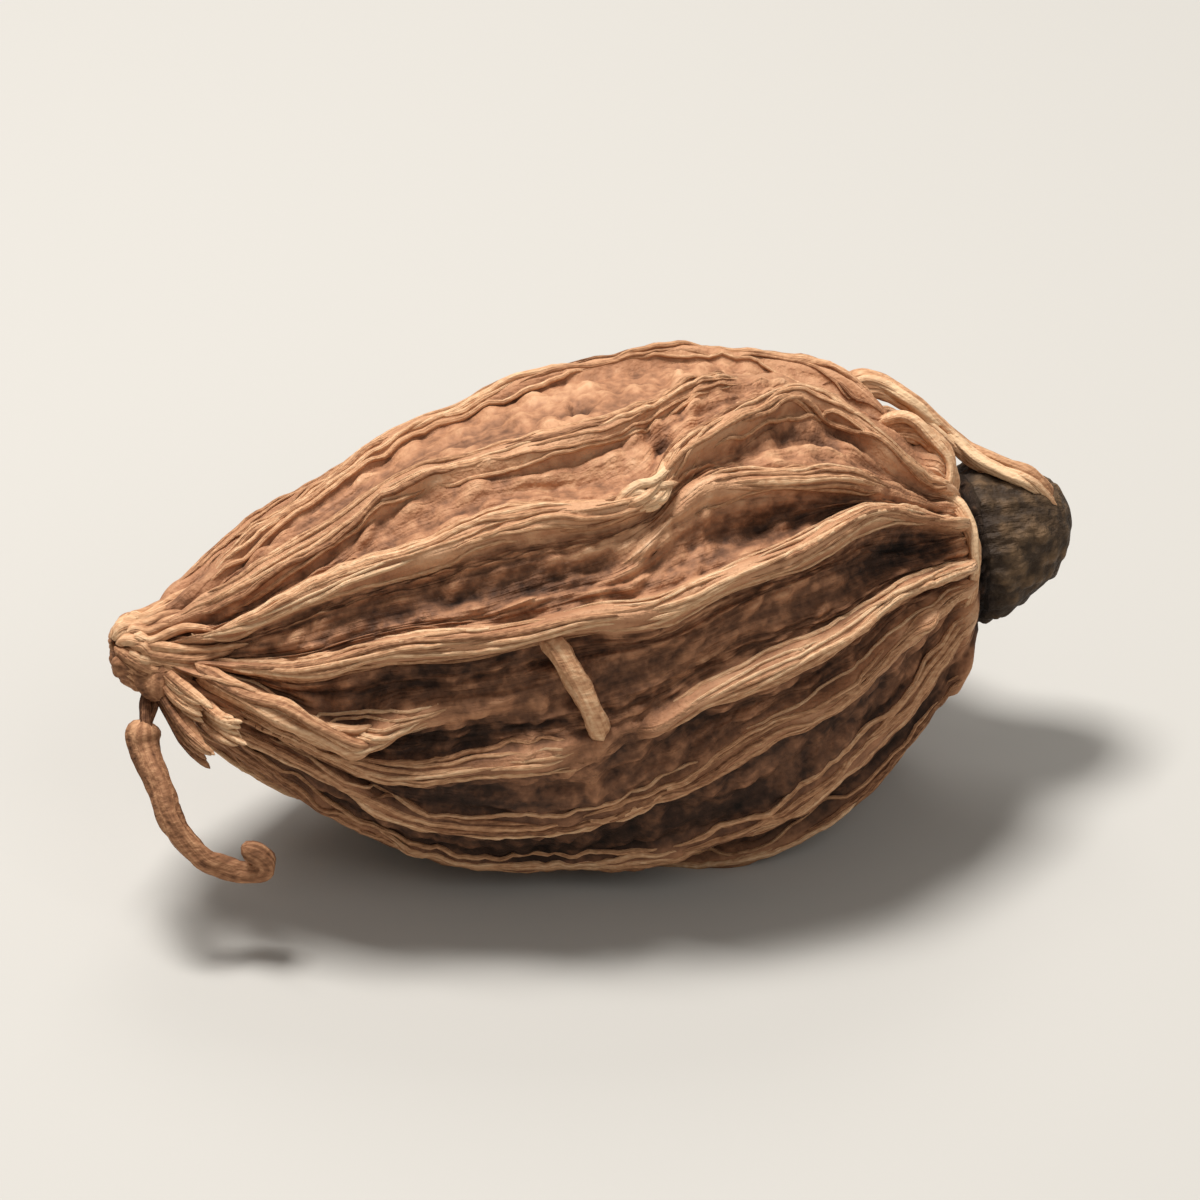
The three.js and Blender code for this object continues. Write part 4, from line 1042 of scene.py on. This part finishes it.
routes = add(t, "GeometryNodeSetPosition", {
    "Geometry": routes, "Position": hit.outputs["Hit Position"], "Offset": lift})

# The tubes, with the same marks for the material as the fibres have
tubes, _, _ = sweep(t, routes, given)
spot = add(t, VECTOR_MATH, (add(t, "GeometryNodeInputPosition"), FLOOR_LIMIT), operation="MAXIMUM")
tubes = add(t, "GeometryNodeSetPosition", {"Geometry": tubes, "Position": spot})
close_tree(t, tubes, given, result.inputs["Strands"])
route_mesh = line_mesh("strand_routes", strand_routes, breadth=strand_breadths, paleness=strand_tones)
strands = grow("rib_strands", route_mesh, strand_tree, husk=husk, material=fibre_finish)

# %% [markdown]
# ## The stalk knot
# The stalk broke off in a small knot: a cream lump with a browner lobe beside it. A lump has no rule to speak
# of, so a fine ball is pushed in and out by noise of two sizes and set on the end of the husk's axis. The
# tree is the same kind as before, so that its sizes can be tried out by name.

# %% Node tree and piece: stalk knot
BALL_DETAIL = 6  # times that the ball's faces are split
BROWN_SIDE, KNOT_TONES = (-0.7, 0.0), (0.25, 0.85)  # shares of the ball's radius along the pod, and paleness

knot_tree, given, result = start_tree("stalk_knot", {
    "Base": "Geometry", "Place": 0.82, "Half Length": 0.92, "Radius": 0.84,
    "Lump Depth": 0.2, "Lump Size": 0.7, "Grain Depth": 0.05, "Grain Size": 0.3,
    "Seed": 2.0, "Material": "Material"}, {"Knot": "Geometry"})
t = knot_tree
ball = add(t, "GeometryNodeMeshIcoSphere", {"Radius": 1.0, "Subdivisions": BALL_DETAIL})
at = add(t, "GeometryNodeInputPosition")
push = 1.0
for label in ("Lump", "Grain"):
    where = add(t, VECTOR_MATH, (at, add(t, "ShaderNodeCombineXYZ", (given[label + " Size"],) * 3)),
                operation="DIVIDE")
    noise = add(t, "ShaderNodeTexNoise", {"Vector": where, "W": given["Seed"], "Scale": 1.0, "Detail": 1.0},
                noise_dimensions="4D")
    offset = add(t, "ShaderNodeMapRange", (noise, *NOISE_RANGE, -1.0, 1.0))
    push = add(t, MATH, (offset, given[label + " Depth"], push), operation="MULTIPLY_ADD")
browner = add(t, "ShaderNodeMapRange", (add(t, "ShaderNodeSeparateXYZ", (at,)), *BROWN_SIDE, *KNOT_TONES))
for name, kind, value in (("paleness", "FLOAT", browner), ("grain", "FLOAT_VECTOR", at)):
    ball = add(t, "GeometryNodeStoreNamedAttribute", {"Geometry": ball, "Name": name, "Value": value},
               data_type=kind)
size = add(t, "ShaderNodeCombineXYZ", (given["Half Length"], given["Radius"], given["Radius"]))
lump = add(t, VECTOR_MATH, (at, size), operation="MULTIPLY")
lump = add(t, VECTOR_MATH, {0: lump, "Scale": push}, operation="SCALE")
end = add(t, "GeometryNodeGroup", {"Place": given["Place"]}, node_tree=point_tree)
end = add(t, "GeometryNodeGroup", {
    "Place": given["Place"], "Height": add(t, MATH, (end.outputs["Radius"], -1.0), operation="MULTIPLY")},
    node_tree=point_tree)
lump = add(t, VECTOR_MATH, (lump, end.outputs["Point"]), operation="ADD")
ball = add(t, "GeometryNodeSetPosition", {"Geometry": ball, "Position": lump})
close_tree(t, ball, given, result.inputs["Knot"])
knot = grow("stalk_knot", bpy.data.meshes.new("knot_base"), knot_tree, material=fibre_finish)

# %% [markdown]
# ## Handing the pieces to the frame
# The pod has no moving part, so everything rides on its one body. The pieces stand for the imported solid,
# which is hidden.

# %% Ride and replace
for piece in (husk, fibres, strands, knot):
    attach(piece, "root")
    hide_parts("pod")
    print(piece.name, "rides on the root")

# %% [markdown]
# ## Floor and light
# A plain pale floor and soft studio light keep the eye on the pod. The main light is large and comes from
# above and a little behind, because the ribs are read by their shadows: a lamp beside the camera would
# flatten them. A weak lamp in front opens the shadows, one behind draws the edge, and a sky fills the rest.

# %% Floor, lamps and sky
FLOOR_HALF, FLOOR_ROUGHNESS = 1.0, 0.9  # half a side in metres
SKY_STRENGTH = 0.28

floor_mesh = bpy.data.meshes.new("floor")
corners = [(x * FLOOR_HALF, y * FLOOR_HALF, 0) for x, y in ((-1, -1), (1, -1), (1, 1), (-1, 1))]
floor_mesh.from_pydata(corners, [], [(0, 1, 2, 3)])
floor = bpy.data.objects.new("floor", floor_mesh)
bpy.context.scene.collection.objects.link(floor)
# Board with a coat of matte paint: no gloss and one even pale tone, so that only the pod's shadow shows on it
floor_finish = bpy.data.materials.new("matte_painted_board")
floor_finish.use_nodes = True
floor_shader = floor_finish.node_tree.nodes["Principled BSDF"]
floor_shader.inputs["Base Color"].default_value = colour("#b8b4ad")
floor_shader.inputs["Roughness"].default_value = FLOOR_ROUGHNESS
floor_mesh.materials.append(floor_finish)

LAMPS = (  # name, azimuth, elevation, distance in mm, side in mm, watts
    ("key_lamp", -130, 76, 200, 60, 0.55),
    ("side_lamp", 15, 42, 240, 120, 0.105),
    ("rim_lamp", 165, 50, 240, 90, 0.12),
)


def towards(azimuth, elevation):
    """The direction from the pod to a lamp or a camera. Azimuth 0 is in front, 90 to the right."""
    a, e = math.radians(azimuth), math.radians(elevation)
    return Vector((math.sin(a) * math.cos(e), -math.cos(a) * math.cos(e), math.sin(e)))


centre = (cad_box[0] + cad_box[1]) / 2
for name, azimuth, elevation, distance, side, watts in LAMPS:
    lamp_data = bpy.data.lights.new(name, "AREA")
    lamp_data.size, lamp_data.energy = side * MM, watts
    lamp = bpy.data.objects.new(name, lamp_data)
    bpy.context.scene.collection.objects.link(lamp)
    lamp.location = centre + towards(azimuth, elevation) * distance * MM
    lamp.rotation_euler = towards(azimuth, elevation).to_track_quat("Z", "Y").to_euler()
sky = bpy.data.worlds.new("studio_sky")
sky.use_nodes = True
sky.node_tree.nodes["Background"].inputs["Color"].default_value = colour("#f3efe9")
sky.node_tree.nodes["Background"].inputs["Strength"].default_value = SKY_STRENGTH
bpy.context.scene.world = sky
bpy.context.scene.view_settings.view_transform = "Standard"
print("lamps:", [lamp[0] for lamp in LAMPS])

# %% [markdown]
# ## Camera
# The pod is seen from the front and above, with its stalk end turned a little towards us. A short lens from
# close by would swell the near end. A long lens from far away keeps the pod's proportions.

# %% Camera
CAMERA_AZIMUTH, CAMERA_ELEVATION = -17, 32
LENS, SENSOR = 180, 36  # mm
FRAME_WIDTH = 29.0  # mm of the pod's surroundings that fit across the picture
CLIP = (0.005, 10)  # metres

camera_data = bpy.data.cameras.new("camera")
camera_data.lens, camera_data.sensor_width = LENS, SENSOR
camera = bpy.data.objects.new("camera", camera_data)
bpy.context.scene.collection.objects.link(camera)
camera.location = centre + towards(CAMERA_AZIMUTH, CAMERA_ELEVATION) * FRAME_WIDTH * MM * LENS / SENSOR
camera.rotation_euler = towards(CAMERA_AZIMUTH, CAMERA_ELEVATION).to_track_quat("Z", "Y").to_euler()
camera_data.clip_start, camera_data.clip_end = CLIP
bpy.context.scene.camera = camera
print("camera distance, mm:", round((camera.location - centre).length / MM))
